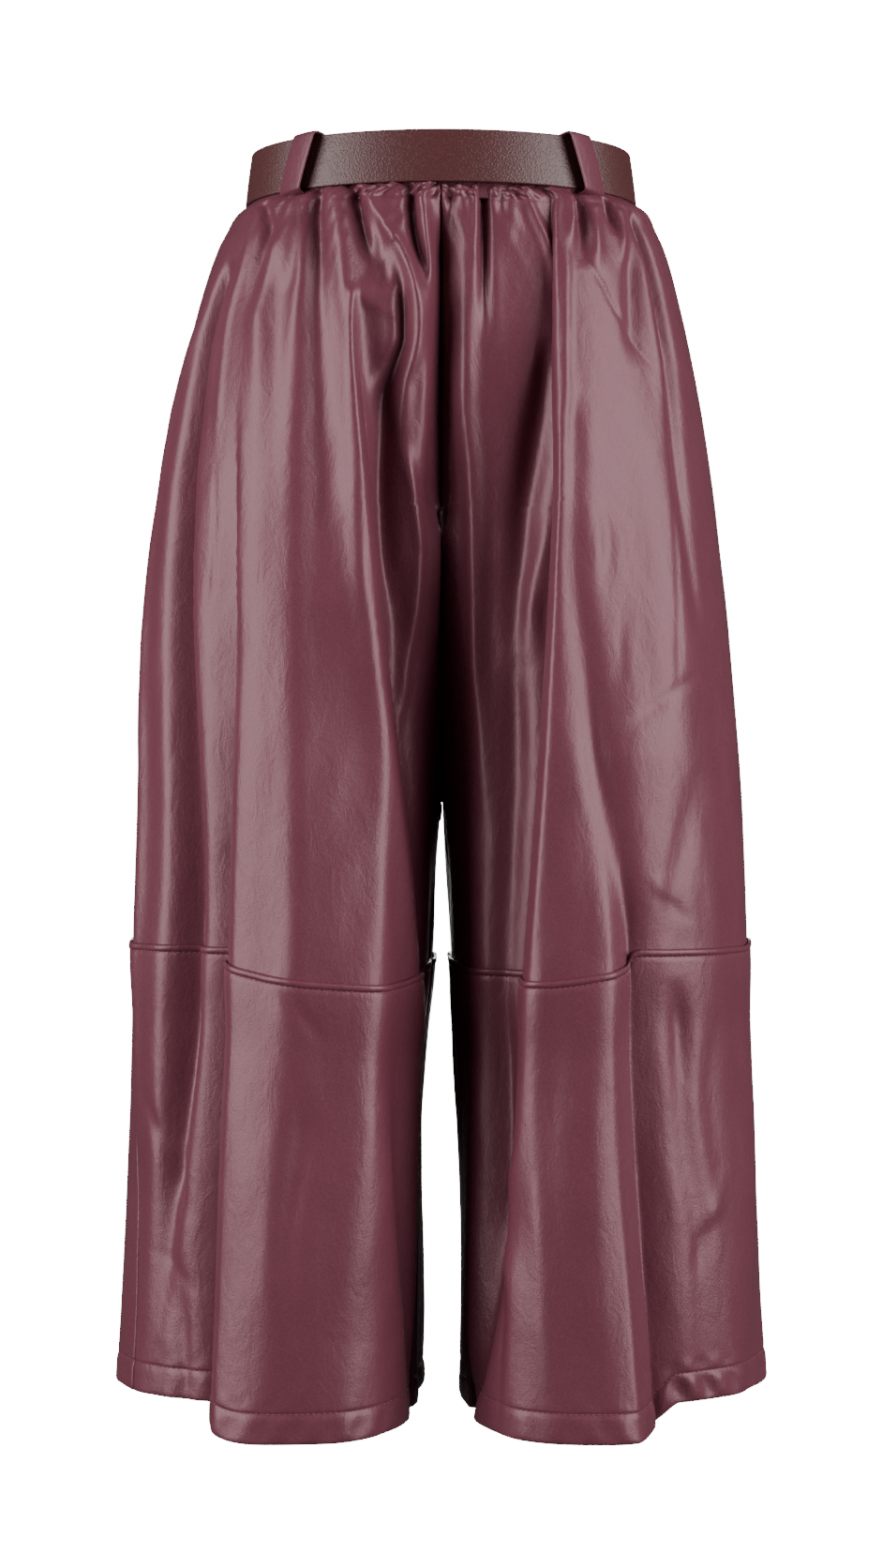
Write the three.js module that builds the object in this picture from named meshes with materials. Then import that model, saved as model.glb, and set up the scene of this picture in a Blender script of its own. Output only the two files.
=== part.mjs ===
// Cropped wide-leg trousers in faux leather, filled out as they are worn: hollow, open at the waist and
// at both hems, with a gathered back and front, a lapped seam round each leg at the knee, and a belt in
// four loops.
// Millimetres, +Z up, -Y is the garment's back and +X its right leg. The origin is the centre of the waist,
// halfway up the belt, where the wearer holds the garment.
import * as THREE from "three";

// ---- Cloth and seams ----
const CLOTH = 1.2; // faux leather with its knitted backing
const SEAM_GAP = 0.3; // between two pieces that are sewn together
const LAP = 6; // how far a lower panel lies over the upper one
const LAP_GAP = 0.8; // between the two in the lap
const LAP_SETTLE = { from: 12, to: 48 }; // below its top, a lower panel comes in again between these
const HEM_TURN = 20; // height of the turned-up hem, two layers thick
const HEM_STEP = 0.006; // share of a lower panel's height in which it becomes two layers thick
const PANEL_TOP = -20.3; // where the upper panels are gathered onto the casing
const GATHER_START = 20; // the gathers reach their full height this far below it
const PANEL_COLUMNS = 22; // facets across each panel
const FINE_STEPS = 240; // points that measure a section before it is divided into columns
const DEPTH_SHARE = 0.5; // how much a length in depth counts when a section is divided
const EDGE_STEP = 1e-3; // share of a panel that gives its direction at an edge

// ---- Waist ----
// The half sizes are those of the belt's outer face at its lower edge.
const BELT = { width: 36, thick: 3, halfX: 136, halfY: 98, taper: 0.125 };
const CASING = { top: 16, bottom: -20, thick: 2.6, clear: 2.4, facets: 48 };
const LOOP = { width: 22, thick: 1.4, stand: 1.6, bottom: -19, top: 19.6, inside: 14, clear: 1.4 };
const LOOPS = [
  { name: "belt_loop_back_left", angle: 225, lean: -13 },
  { name: "belt_loop_back_right", angle: 316, lean: 13 },
  { name: "belt_loop_front_right", angle: 47, lean: 2 },
  { name: "belt_loop_front_left", angle: 132, lean: -3 },
];
// The belt starts at its buckle, goes anticlockwise round the waist and over its own start. Angles are
// degrees round the waist's oval, where 90 is the middle of the front. The strap's tip is 16 long, and
// its end is 0.3 of the belt's width.
const STRAP = {
  start: 84, overlap: 34, lift: 4.5, liftFrom: 54, liftTo: 78, tip: 16, blunt: 0.3, columns: 96,
};
// A buckle's heel and far bar are at these angles, and stand this far out from the belt's outer face.
const BUCKLE = {
  openX: 22, openZ: 38, bar: 3.2, thick: 3, corner: 5,
  heel: { angle: 82.4, out: -1 },
  far: { angle: 72.4, out: 6.6 },
};
const PRONG = {
  width: 3.4, thick: 2.2, past: 1,
  heel: { angle: 84.6, out: 6.2 },
  far: { angle: 71.6, out: 10.2 },
};
const KEEPER = { angle: 99, width: 12, thick: 1.3, gap: 0.4, corner: 0.3 };

// One row for each level, for the plain form under the folds: the distance of a leg's middle from the
// centre plane, how far each leg's outside is from it, the depths behind and in front of the waist's
// centre, and how square the inner half of a leg's section is.
const LEVELS = [
  { z: -20, middle: 0, left: 135, right: 136.5, back: 97, front: 92.5, square: 2.0 },
  { z: -24, middle: 1, left: 141, right: 144, back: 100, front: 94, square: 2.0 },
  { z: -36, middle: 4, left: 148, right: 149.5, back: 103, front: 99, square: 2.0 },
  { z: -48, middle: 8, left: 154.5, right: 155, back: 106, front: 102, square: 2.05 },
  { z: -88, middle: 22, left: 168, right: 166, back: 113, front: 106, square: 2.1 },
  { z: -127, middle: 38, left: 177.5, right: 174.5, back: 117, front: 108, square: 2.15 },
  { z: -205, middle: 70, left: 192, right: 187.5, back: 122, front: 110, square: 2.25 },
  { z: -283, middle: 90, left: 200.5, right: 196.5, back: 127, front: 112, square: 2.35 },
  { z: -362, middle: 100, left: 207, right: 204, back: 131, front: 115, square: 2.4 },
  { z: -440, middle: 105.5, left: 210.5, right: 209.5, back: 135, front: 119, square: 2.45 },
  { z: -518, middle: 109.5, left: 213, right: 212.5, back: 139, front: 123, square: 2.5 },
  { z: -636, middle: 114, left: 216.5, right: 217, back: 143, front: 128, square: 2.5 },
  { z: -753, middle: 117.5, left: 220.5, right: 221.5, back: 147, front: 132, square: 2.55 },
  { z: -860, middle: 120.5, left: 225.5, right: 225.5, back: 150, front: 136, square: 2.6 },
];
const OUTER_SQUARE = 2.05; // the outer half of a section is rounder
const CROTCH = -300; // the lowest point of the seat seam
const SEAT_TURN = 70; // how far above the crotch the seat seam starts to turn under

// The height of each leg's knee seam and hem: at the side, behind, in front and on the inside.
const KNEE = { side: -525, back: -547, front: -542, inside: -535 };
const HEM = { side: -829, back: -846, front: -843, inside: -841 };
const DROP = 0.93; // how far round towards the back or front the side's height reaches, as a sine

// The inseam swings a little towards the back as it goes down, and so does the left side seam, while the
// right one swings forward. The side seams swing between two depths below the origin. In radians.
const INSEAM_SWING = 0.3;
const SIDE_SWING = { left: 0.63, right: -0.15, from: 150, to: 980 };

// The rows of facets down the panels, as shares of their height. Both have one at the other's edge in the
// lap, and a lower panel has two where its hem begins.
const LAP_START = 1 - LAP / (PANEL_TOP - KNEE.back + LAP);
const LAP_END = LAP / (KNEE.back - HEM.back);
const HEM_START = 1 - HEM_TURN / (KNEE.back - HEM.back);
const UPPER_ROWS = [0, 0.01, 0.05, 0.14, 0.23, 0.32, 0.42, 0.52, 0.62, 0.73, 0.84, 0.94, LAP_START, 1];
const LOWER_ROWS = [0, LAP_END, 0.08, 0.25, 0.43, 0.61, 0.79, HEM_START, HEM_START + HEM_STEP, 1];

// The large folds. Past its edge, which lies x from the centre plane, a fold sets the cloth back by a
// share of its depth: the outer ones towards the side seam, the inner ones towards the inseam. Half its
// wall is soft wide.
const FOLDS = {
  left: [
    {
      face: "back", towards: "side", // the deep fold down the outer back, which overlaps itself
      rows: [
        { z: -140, x: 127, share: 0, soft: 8 },
        { z: -283, x: 134, share: 0.05, soft: 6 },
        { z: -440, x: 135.5, share: 0.11, soft: 5 },
        { z: -535, x: 135, share: 0.18, soft: 5 },
        { z: -700, x: 141, share: 0.26, soft: 5 },
        { z: -850, x: 148, share: 0.32, soft: 5 },
      ],
    },
    {
      face: "back", towards: "inseam", // the fold beside the seat seam
      rows: [
        { z: -90, x: 57, share: 0, soft: 10 },
        { z: -158, x: 54, share: 0.08, soft: 8 },
        { z: -270, x: 40, share: 0.15, soft: 8 },
        { z: -396, x: 27, share: 0.18, soft: 7 },
        { z: -520, x: 17, share: 0.12, soft: 7 },
        { z: -600, x: 12, share: 0, soft: 7 },
      ],
    },
    {
      face: "front", towards: "side",
      rows: [
        { z: -170, x: 118, share: 0, soft: 12 },
        { z: -400, x: 131, share: 0.1, soft: 9 },
        { z: -600, x: 138, share: 0.2, soft: 8 },
        { z: -850, x: 150, share: 0.28, soft: 8 },
      ],
    },
  ],
  right: [
    {
      face: "back", towards: "inseam", // the long fold from the waist to the hem
      rows: [
        { z: -24, x: 74, share: 0.04, soft: 14 },
        { z: -120, x: 75, share: 0.08, soft: 12 },
        { z: -200, x: 74, share: 0.11, soft: 10 },
        { z: -300, x: 71, share: 0.15, soft: 8 },
        { z: -420, x: 66, share: 0.18, soft: 6 },
        { z: -545, x: 57, share: 0.19, soft: 5 },
        { z: -700, x: 43, share: 0.13, soft: 7 },
        { z: -820, x: 34, share: 0, soft: 8 },
      ],
    },
    {
      face: "back", towards: "side", // a soft fold that opens out towards the hem
      rows: [
        { z: -400, x: 110, share: 0, soft: 20 },
        { z: -532, x: 124, share: 0.08, soft: 14 },
        { z: -675, x: 136, share: 0.17, soft: 12 },
        { z: -850, x: 148, share: 0.27, soft: 9 },
      ],
    },
    {
      face: "front", towards: "side",
      rows: [
        { z: -150, x: 112, share: 0, soft: 12 },
        { z: -380, x: 126, share: 0.12, soft: 9 },
        { z: -600, x: 134, share: 0.18, soft: 8 },
        { z: -850, x: 146, share: 0.28, soft: 8 },
      ],
    },
  ],
};

// The largest gathers under the waist, as ridges (or troughs, where the height is negative): where each
// one starts and ends across the panel, its end's height, how far it stands out and its half width.
const GATHERS = {
  left: {
    back: [
      { from: 12, to: 20, end: -110, height: 5, half: 9 },
      { from: 32, to: 32, end: -130, height: -6, half: 10 },
      { from: 60, to: 62, end: -190, height: 5, half: 10 },
      { from: 84, to: 88, end: -240, height: -5, half: 11 },
      { from: 106, to: 122, end: -220, height: 4, half: 14 },
    ],
    front: [
      { from: 20, to: 22, end: -120, height: 5, half: 9 },
      { from: 44, to: 50, end: -170, height: -5, half: 11 },
      { from: 70, to: 80, end: -200, height: 5, half: 12 },
      { from: 98, to: 112, end: -180, height: -4, half: 12 },
    ],
  },
  right: {
    back: [
      { from: 18, to: 20, end: -130, height: 5, half: 9 },
      { from: 36, to: 36, end: -110, height: -5, half: 10 },
      { from: 56, to: 58, end: -150, height: 3, half: 12 },
      { from: 92, to: 96, end: -120, height: -5, half: 9 },
      { from: 108, to: 118, end: -200, height: 5, half: 13 },
    ],
    front: [
      { from: 24, to: 26, end: -140, height: 5, half: 10 },
      { from: 50, to: 54, end: -110, height: -5, half: 10 },
      { from: 76, to: 86, end: -210, height: 5, half: 12 },
      { from: 102, to: 114, end: -170, height: -4, half: 12 },
    ],
  },
};

// ---- Small helpers ----
const { lerp, smoothstep, degToRad, clamp } = THREE.MathUtils;

// One named column of a table whose rows run down in z, between its rows.
function along(rows, column, z) {
  const below = rows.findIndex((row) => row.z <= z);
  if (below === 0) return rows[0][column];
  if (below < 0) return rows.at(-1)[column];
  const [a, b] = [rows[below - 1], rows[below]];
  return lerp(a[column], b[column], (a.z - z) / (a.z - b.z));
}

const signedPower = (value, power) => Math.sign(value) * Math.abs(value) ** power;

// The share that lies v of the way through a list of rows.
function rowShare(rows, v) {
  const index = Math.min(Math.floor(v * (rows.length - 1)), rows.length - 2);
  return lerp(rows[index], rows[index + 1], v * (rows.length - 1) - index);
}

// A height with one setting at the side, behind, in front and inside the leg, at an angle round it.
function aroundLeg(heights, angle) {
  const behind = Math.sin(angle);
  const face = behind > 0 ? heights.back : heights.front;
  return Math.cos(angle) > 0
    ? lerp(heights.inside, face, Math.abs(behind))
    : lerp(heights.side, face, smoothstep(Math.abs(behind), DROP, 1));
}

// ---- The cloth's form ----
// A point of the section at height z. The angle runs round a leg from its inside (0) by the back (90
// degrees), the side (180) and the front (270). x is the distance from the centre plane.
function formPoint(side, angle, z) {
  const middle = along(LEVELS, "middle", z);
  const across = along(LEVELS, side, z) - middle;
  const behind = Math.sin(angle) > 0;
  const depth = along(LEVELS, behind ? "back" : "front", z);
  const power = 2 / (Math.cos(angle) > 0 ? along(LEVELS, "square", z) : OUTER_SQUARE);
  let x = middle - across * signedPower(Math.cos(angle), power);
  let y = -depth * signedPower(Math.sin(angle), power);
  const face = behind ? "back" : "front";
  let ripple = 0;
  for (const gather of GATHERS[side][face]) {
    const down = (PANEL_TOP - z) / (PANEL_TOP - gather.end);
    if (down > 1) continue;
    const off = (x - lerp(gather.from, gather.to, down)) / gather.half;
    ripple += gather.height * Math.exp(-off * off) * Math.cos((Math.PI / 2) * down) ** 2;
  }
  const grow = 1 + (ripple * smoothstep(PANEL_TOP - z, 0, GATHER_START)) / Math.hypot(x - middle, y);
  x = middle + (x - middle) * grow;
  y *= grow;
  for (const fold of FOLDS[side]) {
    if (fold.face !== face) continue;
    const edge = along(fold.rows, "x", z);
    const past = fold.towards === "side" ? x - edge : edge - x;
    const soft = along(fold.rows, "soft", z);
    y *= 1 - along(fold.rows, "share", z) * smoothstep(past, -soft, soft);
  }
  return new THREE.Vector2(Math.max(x, SEAM_GAP / 2), y);
}

// The angle at which a section starts behind (and, mirrored, ends in front): on the centre plane above the
// crotch, along the seat seam as it turns under, and at the inseam below it.
function startAngle(side, z) {
  const middle = along(LEVELS, "middle", z);
  const across = along(LEVELS, side, z) - middle;
  const onPlane = Math.acos(Math.min(1, (middle / across) ** (along(LEVELS, "square", z) / 2)));
  const above = clamp((z - CROTCH) / SEAT_TURN, 0, 1);
  return onPlane * Math.sqrt(above);
}

const inseamSwing = (z) => INSEAM_SWING * smoothstep(CROTCH - z, 0, CROTCH - HEM.back);
const sideSeam = (side, z) =>
  Math.PI - SIDE_SWING[side] * smoothstep(-z, SIDE_SWING.from, SIDE_SWING.to);

// The angles at the two edges of a panel: the seat seam or inseam, and the side seam.
function panelEdges(side, face, z) {
  const start = startAngle(side, z);
  return face === "back"
    ? [start + inseamSwing(z), sideSeam(side, z)]
    : [2 * Math.PI - start + inseamSwing(z), sideSeam(side, z)];
}

// A section of one panel, divided into columns, at share 0 on the seat seam or inseam and 1 on the side
// seam. Lengths across the body count more than its depth, so that the columns run straight down past the
// crotch. Returns the point and the angle that it came from.
const measured = new Map();
function panelPoint(side, face, share, z) {
  const key = `${side} ${face} ${z.toFixed(3)}`;
  if (!measured.has(key)) {
    const [inner, outer] = panelEdges(side, face, z);
    const points = [];
    for (let i = 0; i <= FINE_STEPS; i++) {
      const angle = lerp(inner, outer, i / FINE_STEPS);
      const at = formPoint(side, angle, z);
      const step = i ? at.clone().sub(points[i - 1].at) : new THREE.Vector2();
      const run = (i ? points[i - 1].run : 0) + Math.hypot(step.x, DEPTH_SHARE * step.y);
      points.push({ angle, at, run });
    }
    measured.set(key, points);
  }
  const points = measured.get(key);
  const length = points.at(-1).run;
  const wanted = lerp(SEAM_GAP / 2, length - SEAM_GAP / 2, share);
  const next = Math.max(1, points.findIndex((point) => point.run >= wanted));
  const [a, b] = [points[next - 1], points[next]];
  const t = (wanted - a.run) / (b.run - a.run);
  return { at: a.at.clone().lerp(b.at, t), angle: lerp(a.angle, b.angle, t) };
}

// ---- Walls ----
// A closed wall of columns and rows, whose outer face is surface(u, v) and whose inner face lies thick(v)
// behind it. u runs anticlockwise seen from above, and v runs down.
function wall(columns, rows, surface, thick) {
  const outer = [];
  const inner = [];
  for (let j = 0; j <= rows; j++) {
    for (let i = 0; i <= columns; i++) {
      const [u, v] = [i / columns, j / rows];
      const point = surface(u, v);
      const stepU = i > 0 && i < columns ? 1 / columns : EDGE_STEP; // an edge is square to the curve itself
      const across = surface(Math.min(1, u + stepU), v).sub(surface(Math.max(0, u - stepU), v));
      const down = surface(u, Math.min(1, v + 1 / rows)).sub(surface(u, Math.max(0, v - 1 / rows)));
      const outward = down.cross(across).normalize();
      outer.push(...point);
      inner.push(...point.clone().addScaledVector(outward, -thick(v)));
    }
  }
  const line = columns + 1;
  const back = line * (rows + 1); // from a point to the one behind it
  const index = [];
  const quad = (a, b, c, d) => index.push(a, b, c, a, c, d);
  for (let j = 0; j < rows; j++) {
    for (let i = 0; i < columns; i++) {
      const a = j * line + i;
      quad(a, a + line, a + line + 1, a + 1);
      quad(back + a, back + a + 1, back + a + line + 1, back + a + line);
    }
  }
  const rim = (a, b) => quad(a, b, back + b, back + a);
  for (let i = 0; i < columns; i++) {
    rim(i, i + 1);
    rim(rows * line + i + 1, rows * line + i);
  }
  for (let j = 0; j < rows; j++) {
    rim((j + 1) * line, j * line);
    rim(j * line + columns, (j + 1) * line + columns);
  }
  const geometry = new THREE.BufferGeometry();
  geometry.setAttribute("position", new THREE.Float32BufferAttribute([...outer, ...inner], 3));
  geometry.setIndex(index);
  geometry.computeVertexNormals();
  return geometry;
}

function sewn(name, geometry, material) {
  const mesh = new THREE.Mesh(geometry, material);
  mesh.name = name;
  return mesh;
}

const leather = new THREE.MeshStandardMaterial({ color: 0x743c48, roughness: 0.4, metalness: 0 });
const beltLeather = new THREE.MeshStandardMaterial({ color: 0x52302d, roughness: 0.5, metalness: 0 });
const metal = new THREE.MeshStandardMaterial({ color: 0x6b5a4a, roughness: 0.3, metalness: 1 });

// ---- Panels ----
// One of the eight panels. Its rows run from a top line to a bottom line, which rise and fall round the leg.
function panel(side, face, level) {
  const rows = level === "upper" ? UPPER_ROWS : LOWER_ROWS;
  const surface = (u, v) => {
    const share = (side === "left") === (face === "back") ? 1 - u : u;
    // The lines are read at the height of the knee or hem itself, where their angle is known.
    const lineZ = (sizes, at) => aroundLeg(sizes, panelPoint(side, face, share, at).angle);
    const top = level === "upper" ? PANEL_TOP : lineZ(KNEE, KNEE.back);
    const bottom = level === "upper" ? lineZ(KNEE, KNEE.back) - LAP : lineZ(HEM, HEM.back);
    const z = lerp(top, bottom, rowShare(rows, v));
    const { at } = panelPoint(side, face, share, z);
    const flat = new THREE.Vector3(side === "left" ? -at.x : at.x, at.y, z);
    if (level === "lower") {
      // The top of a lower panel lies on the upper one, and comes in again below it.
      const lift = (CLOTH + LAP_GAP) * (1 - smoothstep(top - z, LAP_SETTLE.from, LAP_SETTLE.to));
      const before = panelPoint(side, face, Math.max(0, share - 1 / PANEL_COLUMNS), z).at;
      const after = panelPoint(side, face, Math.min(1, share + 1 / PANEL_COLUMNS), z).at;
      const run = after.sub(before).normalize();
      const out = face === "back" ? new THREE.Vector2(run.y, -run.x) : new THREE.Vector2(-run.y, run.x);
      flat.x += (side === "left" ? -out.x : out.x) * lift;
      flat.y += out.y * lift;
    }
    return flat;
  };
  const doubled = (v) => level === "lower" && rowShare(rows, v) > HEM_START + HEM_STEP / 2;
  const thick = (v) => (doubled(v) ? 2 * CLOTH : CLOTH);
  const form = wall(PANEL_COLUMNS, rows.length - 1, surface, thick);
  return sewn(`${level}_${face}_${side}`, form, leather);
}

// ---- Waist: casing, belt, loops and buckle ----
// A point on the tapered oval of the waist, at a distance out from the belt's outer face.
function waistPoint(angle, z, out) {
  const narrower = (z + BELT.width / 2) * BELT.taper;
  const [a, b] = [BELT.halfX - narrower, BELT.halfY - narrower];
  const level = new THREE.Vector2(Math.cos(angle) / a, Math.sin(angle) / b).normalize();
  const outward = new THREE.Vector3(level.x, level.y, BELT.taper).normalize();
  return new THREE.Vector3(a * Math.cos(angle), b * Math.sin(angle), z).addScaledVector(outward, out);
}

// The elastic casing, a closed ring behind the belt.
function casing() {
  const out = -BELT.thick - CASING.clear;
  const oval = (inset) => {
    const curve = new THREE.EllipseCurve(0, 0, BELT.halfX + out - inset, BELT.halfY + out - inset);
    return curve.getPoints(CASING.facets).slice(0, -1);
  };
  const shape = new THREE.Shape(oval(0));
  shape.holes.push(new THREE.Path(oval(CASING.thick)));
  const depth = CASING.top - CASING.bottom;
  const ring = new THREE.ExtrudeGeometry(shape, { depth, bevelEnabled: false });
  const place = ring.attributes.position;
  for (let i = 0; i < place.count; i++) {
    const z = place.getZ(i) + CASING.bottom;
    const narrower = (z + BELT.width / 2) * BELT.taper;
    place.setX(i, place.getX(i) * (1 - narrower / BELT.halfX));
    place.setY(i, place.getY(i) * (1 - narrower / BELT.halfY));
    place.setZ(i, z);
  }
  return sewn("waist_casing", ring, leather);
}

// The strap's outer face at an angle, out from the belt's own: it rises to pass over its start.
const strapOut = (degrees) =>
  STRAP.lift * smoothstep(degrees, 360 + STRAP.liftFrom, 360 + STRAP.liftTo);

// The belt: one strap from the buckle right round the waist, whose rounded tip goes over its start.
function belt() {
  const end = STRAP.start + 360 + STRAP.overlap;
  const tipTurn = THREE.MathUtils.radToDeg(STRAP.tip / BELT.halfX);
  const surface = (u, v) => {
    const degrees = lerp(STRAP.start, end, u);
    const intoTip = clamp(1 - (end - degrees) / tipTurn, 0, 1);
    const half = (BELT.width / 2) * lerp(STRAP.blunt, 1, Math.sqrt(1 - intoTip ** 2));
    return waistPoint(degToRad(degrees), lerp(half, -half, v), strapOut(degrees));
  };
  return sewn("belt_strap", wall(STRAP.columns, 2, surface, () => BELT.thick), beltLeather);
}

// Sets a mesh between two places on the waist, given as angles and distances out: its X runs from the
// first to the second, its Y goes up the belt and its Z points outwards.
function setBetween(mesh, from, to) {
  const a = waistPoint(degToRad(from.angle), 0, from.out);
  const b = waistPoint(degToRad(to.angle), 0, to.out);
  const up = waistPoint(degToRad(to.angle), 1, to.out).sub(b);
  const x = b.clone().sub(a).normalize();
  const z = x.clone().cross(up).normalize();
  mesh.quaternion.setFromRotationMatrix(new THREE.Matrix4().makeBasis(x, z.clone().cross(x), z));
  mesh.position.copy(a.add(b).divideScalar(2));
  return mesh;
}

function roundedRectangle(Outline, width, height, corner) {
  const [x, y] = [width / 2 - corner, height / 2 - corner];
  const outline = new Outline();
  outline.absarc(x, y, corner, 0, Math.PI / 2);
  outline.absarc(-x, y, corner, Math.PI / 2, Math.PI);
  outline.absarc(-x, -y, corner, Math.PI, 1.5 * Math.PI);
  outline.absarc(x, -y, corner, 1.5 * Math.PI, 2 * Math.PI);
  outline.closePath();
  return outline;
}

// The buckle's frame: its heel bar lies under the strap's tip end and its far bar over it.
function buckleFrame() {
  const { openX, openZ, bar, thick, corner } = BUCKLE;
  const shape = roundedRectangle(THREE.Shape, openX + 2 * bar, openZ + 2 * bar, corner);
  shape.holes.push(roundedRectangle(THREE.Path, openX, openZ, corner - bar / 2));
  const form = new THREE.ExtrudeGeometry(shape, { depth: thick, bevelEnabled: false, curveSegments: 5 });
  form.translate(0, 0, -thick / 2);
  return setBetween(sewn("buckle_frame", form, metal), BUCKLE.heel, BUCKLE.far);
}

// The prong comes through the strap at the heel bar and rests on the far bar.
function buckleProng() {
  const reach = BUCKLE.openX + 2 * BUCKLE.bar + PRONG.past;
  const form = new THREE.BoxGeometry(reach, PRONG.width, PRONG.thick);
  return setBetween(sewn("buckle_prong", form, metal), PRONG.heel, PRONG.far);
}

// The keeper: a band of belt leather round both layers of the strap.
function beltKeeper() {
  const { angle, width, thick, gap, corner } = KEEPER;
  const deep = STRAP.lift + BELT.thick + 2 * gap;
  const high = BELT.width + 2 * gap;
  const shape = roundedRectangle(THREE.Shape, deep + 2 * thick, high + 2 * thick, thick);
  shape.holes.push(roundedRectangle(THREE.Path, deep, high, corner));
  const form = new THREE.ExtrudeGeometry(shape, { depth: width, bevelEnabled: false, curveSegments: 3 });
  form.translate(0, 0, -width / 2);
  form.rotateX(Math.PI / 2); // its depth lies across the waist and its height is up
  const band = sewn("belt_keeper", form, beltLeather);
  const middle = (STRAP.lift - BELT.thick) / 2;
  band.position.copy(waistPoint(degToRad(angle), 0, middle));
  const outward = waistPoint(degToRad(angle), 0, middle + 1).sub(band.position);
  band.rotation.set(0, -Math.atan(BELT.taper), Math.atan2(outward.y, outward.x), "ZYX");
  return band;
}

// A belt loop: a strip sewn under the belt, led over it and down behind it, inside the casing.
function beltLoop({ name, angle, lean }) {
  const { thick, stand, bottom, top, width, inside, clear } = LOOP;
  const behind = -BELT.thick - CASING.clear - CASING.thick - clear; // the strip's run inside the casing
  const shape = new THREE.Shape();
  shape.moveTo(stand, bottom);
  shape.lineTo(stand + thick, bottom);
  shape.lineTo(stand + thick, top);
  shape.lineTo(stand, top + thick);
  shape.lineTo(behind, top + thick);
  shape.lineTo(behind - thick, top);
  shape.lineTo(behind - thick, CASING.top - inside);
  shape.lineTo(behind, CASING.top - inside);
  shape.lineTo(behind, top);
  shape.lineTo(stand, top);
  const strip = new THREE.ExtrudeGeometry(shape, { depth: width, bevelEnabled: false });
  strip.translate(0, 0, -width / 2);
  strip.rotateX(Math.PI / 2); // the profile's height becomes Z, and the width lies across
  strip.applyMatrix4(new THREE.Matrix4().makeShear(0, 0, 0, 0, 0, -Math.tan(degToRad(lean))));
  const loop = sewn(name, strip, leather);
  loop.position.copy(waistPoint(degToRad(angle), 0, 0));
  const outward = waistPoint(degToRad(angle), 0, 1).sub(loop.position);
  loop.rotation.set(0, -Math.atan(BELT.taper), Math.atan2(outward.y, outward.x), "ZYX");
  return loop;
}

const trousers = new THREE.Group();
for (const side of ["left", "right"]) {
  for (const face of ["back", "front"]) {
    trousers.add(panel(side, face, "upper"), panel(side, face, "lower"));
  }
}
trousers.add(casing(), belt(), buckleFrame(), buckleProng(), beltKeeper());
trousers.add(...LOOPS.map(beltLoop));

export default trousers;
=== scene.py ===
"""Cropped wide-leg trousers in faux leather, filled out as they are worn, seen from behind.

The scene is in metres in the part's frame: +Z up, -Y the garment's back, +X its right leg, and the origin in
the middle of the waist, halfway up the belt. The tables and the sizes in functions are in millimetres. The
cloth is worked out as sections of each leg at many heights: the plain form first, then the folds that stand out
of it or are set back.
"""

import math

import bmesh
import bpy
import numpy as np
from mathutils import Matrix, Vector


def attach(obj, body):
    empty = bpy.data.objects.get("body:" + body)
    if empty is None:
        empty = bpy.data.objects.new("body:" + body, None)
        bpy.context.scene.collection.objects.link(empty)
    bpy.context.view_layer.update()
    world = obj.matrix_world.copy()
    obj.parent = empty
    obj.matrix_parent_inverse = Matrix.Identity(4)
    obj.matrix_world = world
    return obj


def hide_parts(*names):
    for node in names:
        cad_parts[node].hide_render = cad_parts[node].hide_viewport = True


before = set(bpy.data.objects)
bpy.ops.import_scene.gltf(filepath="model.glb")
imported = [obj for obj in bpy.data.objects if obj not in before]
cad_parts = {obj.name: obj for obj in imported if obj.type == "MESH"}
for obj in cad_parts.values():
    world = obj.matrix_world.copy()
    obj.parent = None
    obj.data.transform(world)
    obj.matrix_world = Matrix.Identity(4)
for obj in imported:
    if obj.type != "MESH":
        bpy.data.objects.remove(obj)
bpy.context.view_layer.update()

MM = 0.001
SEED = 7

# ---- Sizes, in millimetres ----
CLOTH = 1.1  # faux leather with its knitted backing
KNEE_LIP = 2.9  # how far the turned edge at the knee stands out
STITCH_BELOW_LIP = 5.0
HEM_TURN = 20.0
CROTCH = -300.0
SEAT_TURN = 70.0  # the seat seam turns under over this height above the crotch
GATHERED = -24  # the height at which the gathers come out of the casing
CASING_STITCH = -27.5

# The plain form at each height: a leg's middle and the outside of each leg, from the centre plane; the depths
# behind and in front; and how square the inner half of a leg's section is.
LEVEL_COLUMNS = ["z", "middle", "left", "right", "back", "front", "square"]
LEVELS = np.array([
    (-10, 0, 131.2, 131.2, 93.2, 90.5, 2.0),
    (-17, 0, 132.4, 132.6, 94.2, 91, 2.0),
    (-20, 0, 135.5, 137, 97, 92.5, 2.0),
    (-24, 1, 141, 144, 100, 95, 2.0),
    (-36, 4, 148, 149.5, 103, 99, 2.0),
    (-48, 8, 154.5, 155, 106, 102, 2.05),
    (-88, 22, 168, 166, 113, 106, 2.1),
    (-127, 38, 177.5, 174.5, 117, 108, 2.15),
    (-205, 70, 192, 187.5, 122, 110, 2.25),
    (-283, 90, 200.5, 196.5, 127, 112, 2.35),
    (-362, 100, 207, 204, 131, 115, 2.4),
    (-440, 105.5, 210.5, 209.5, 135, 119, 2.6),
    (-518, 109.5, 213, 212.5, 139, 123, 2.8),
    (-636, 114, 216.5, 217, 143, 128, 3.0),
    (-753, 117.5, 220.5, 221.5, 147, 132, 3.1),
    (-860, 120.5, 225.5, 225.5, 150, 136, 3.1),
], float)
OUTER_SQUARE = 2.05  # and the outer half's

# The heights of the knee seam and the hem: at the side, behind, in front and inside.
KNEE = {"side": -525, "back": -547, "front": -542, "inside": -535}
HEM = {"side": -829, "back": -846, "front": -843, "inside": -841}
DROP = 0.93  # how far round the side's height reaches, as a sine
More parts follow.
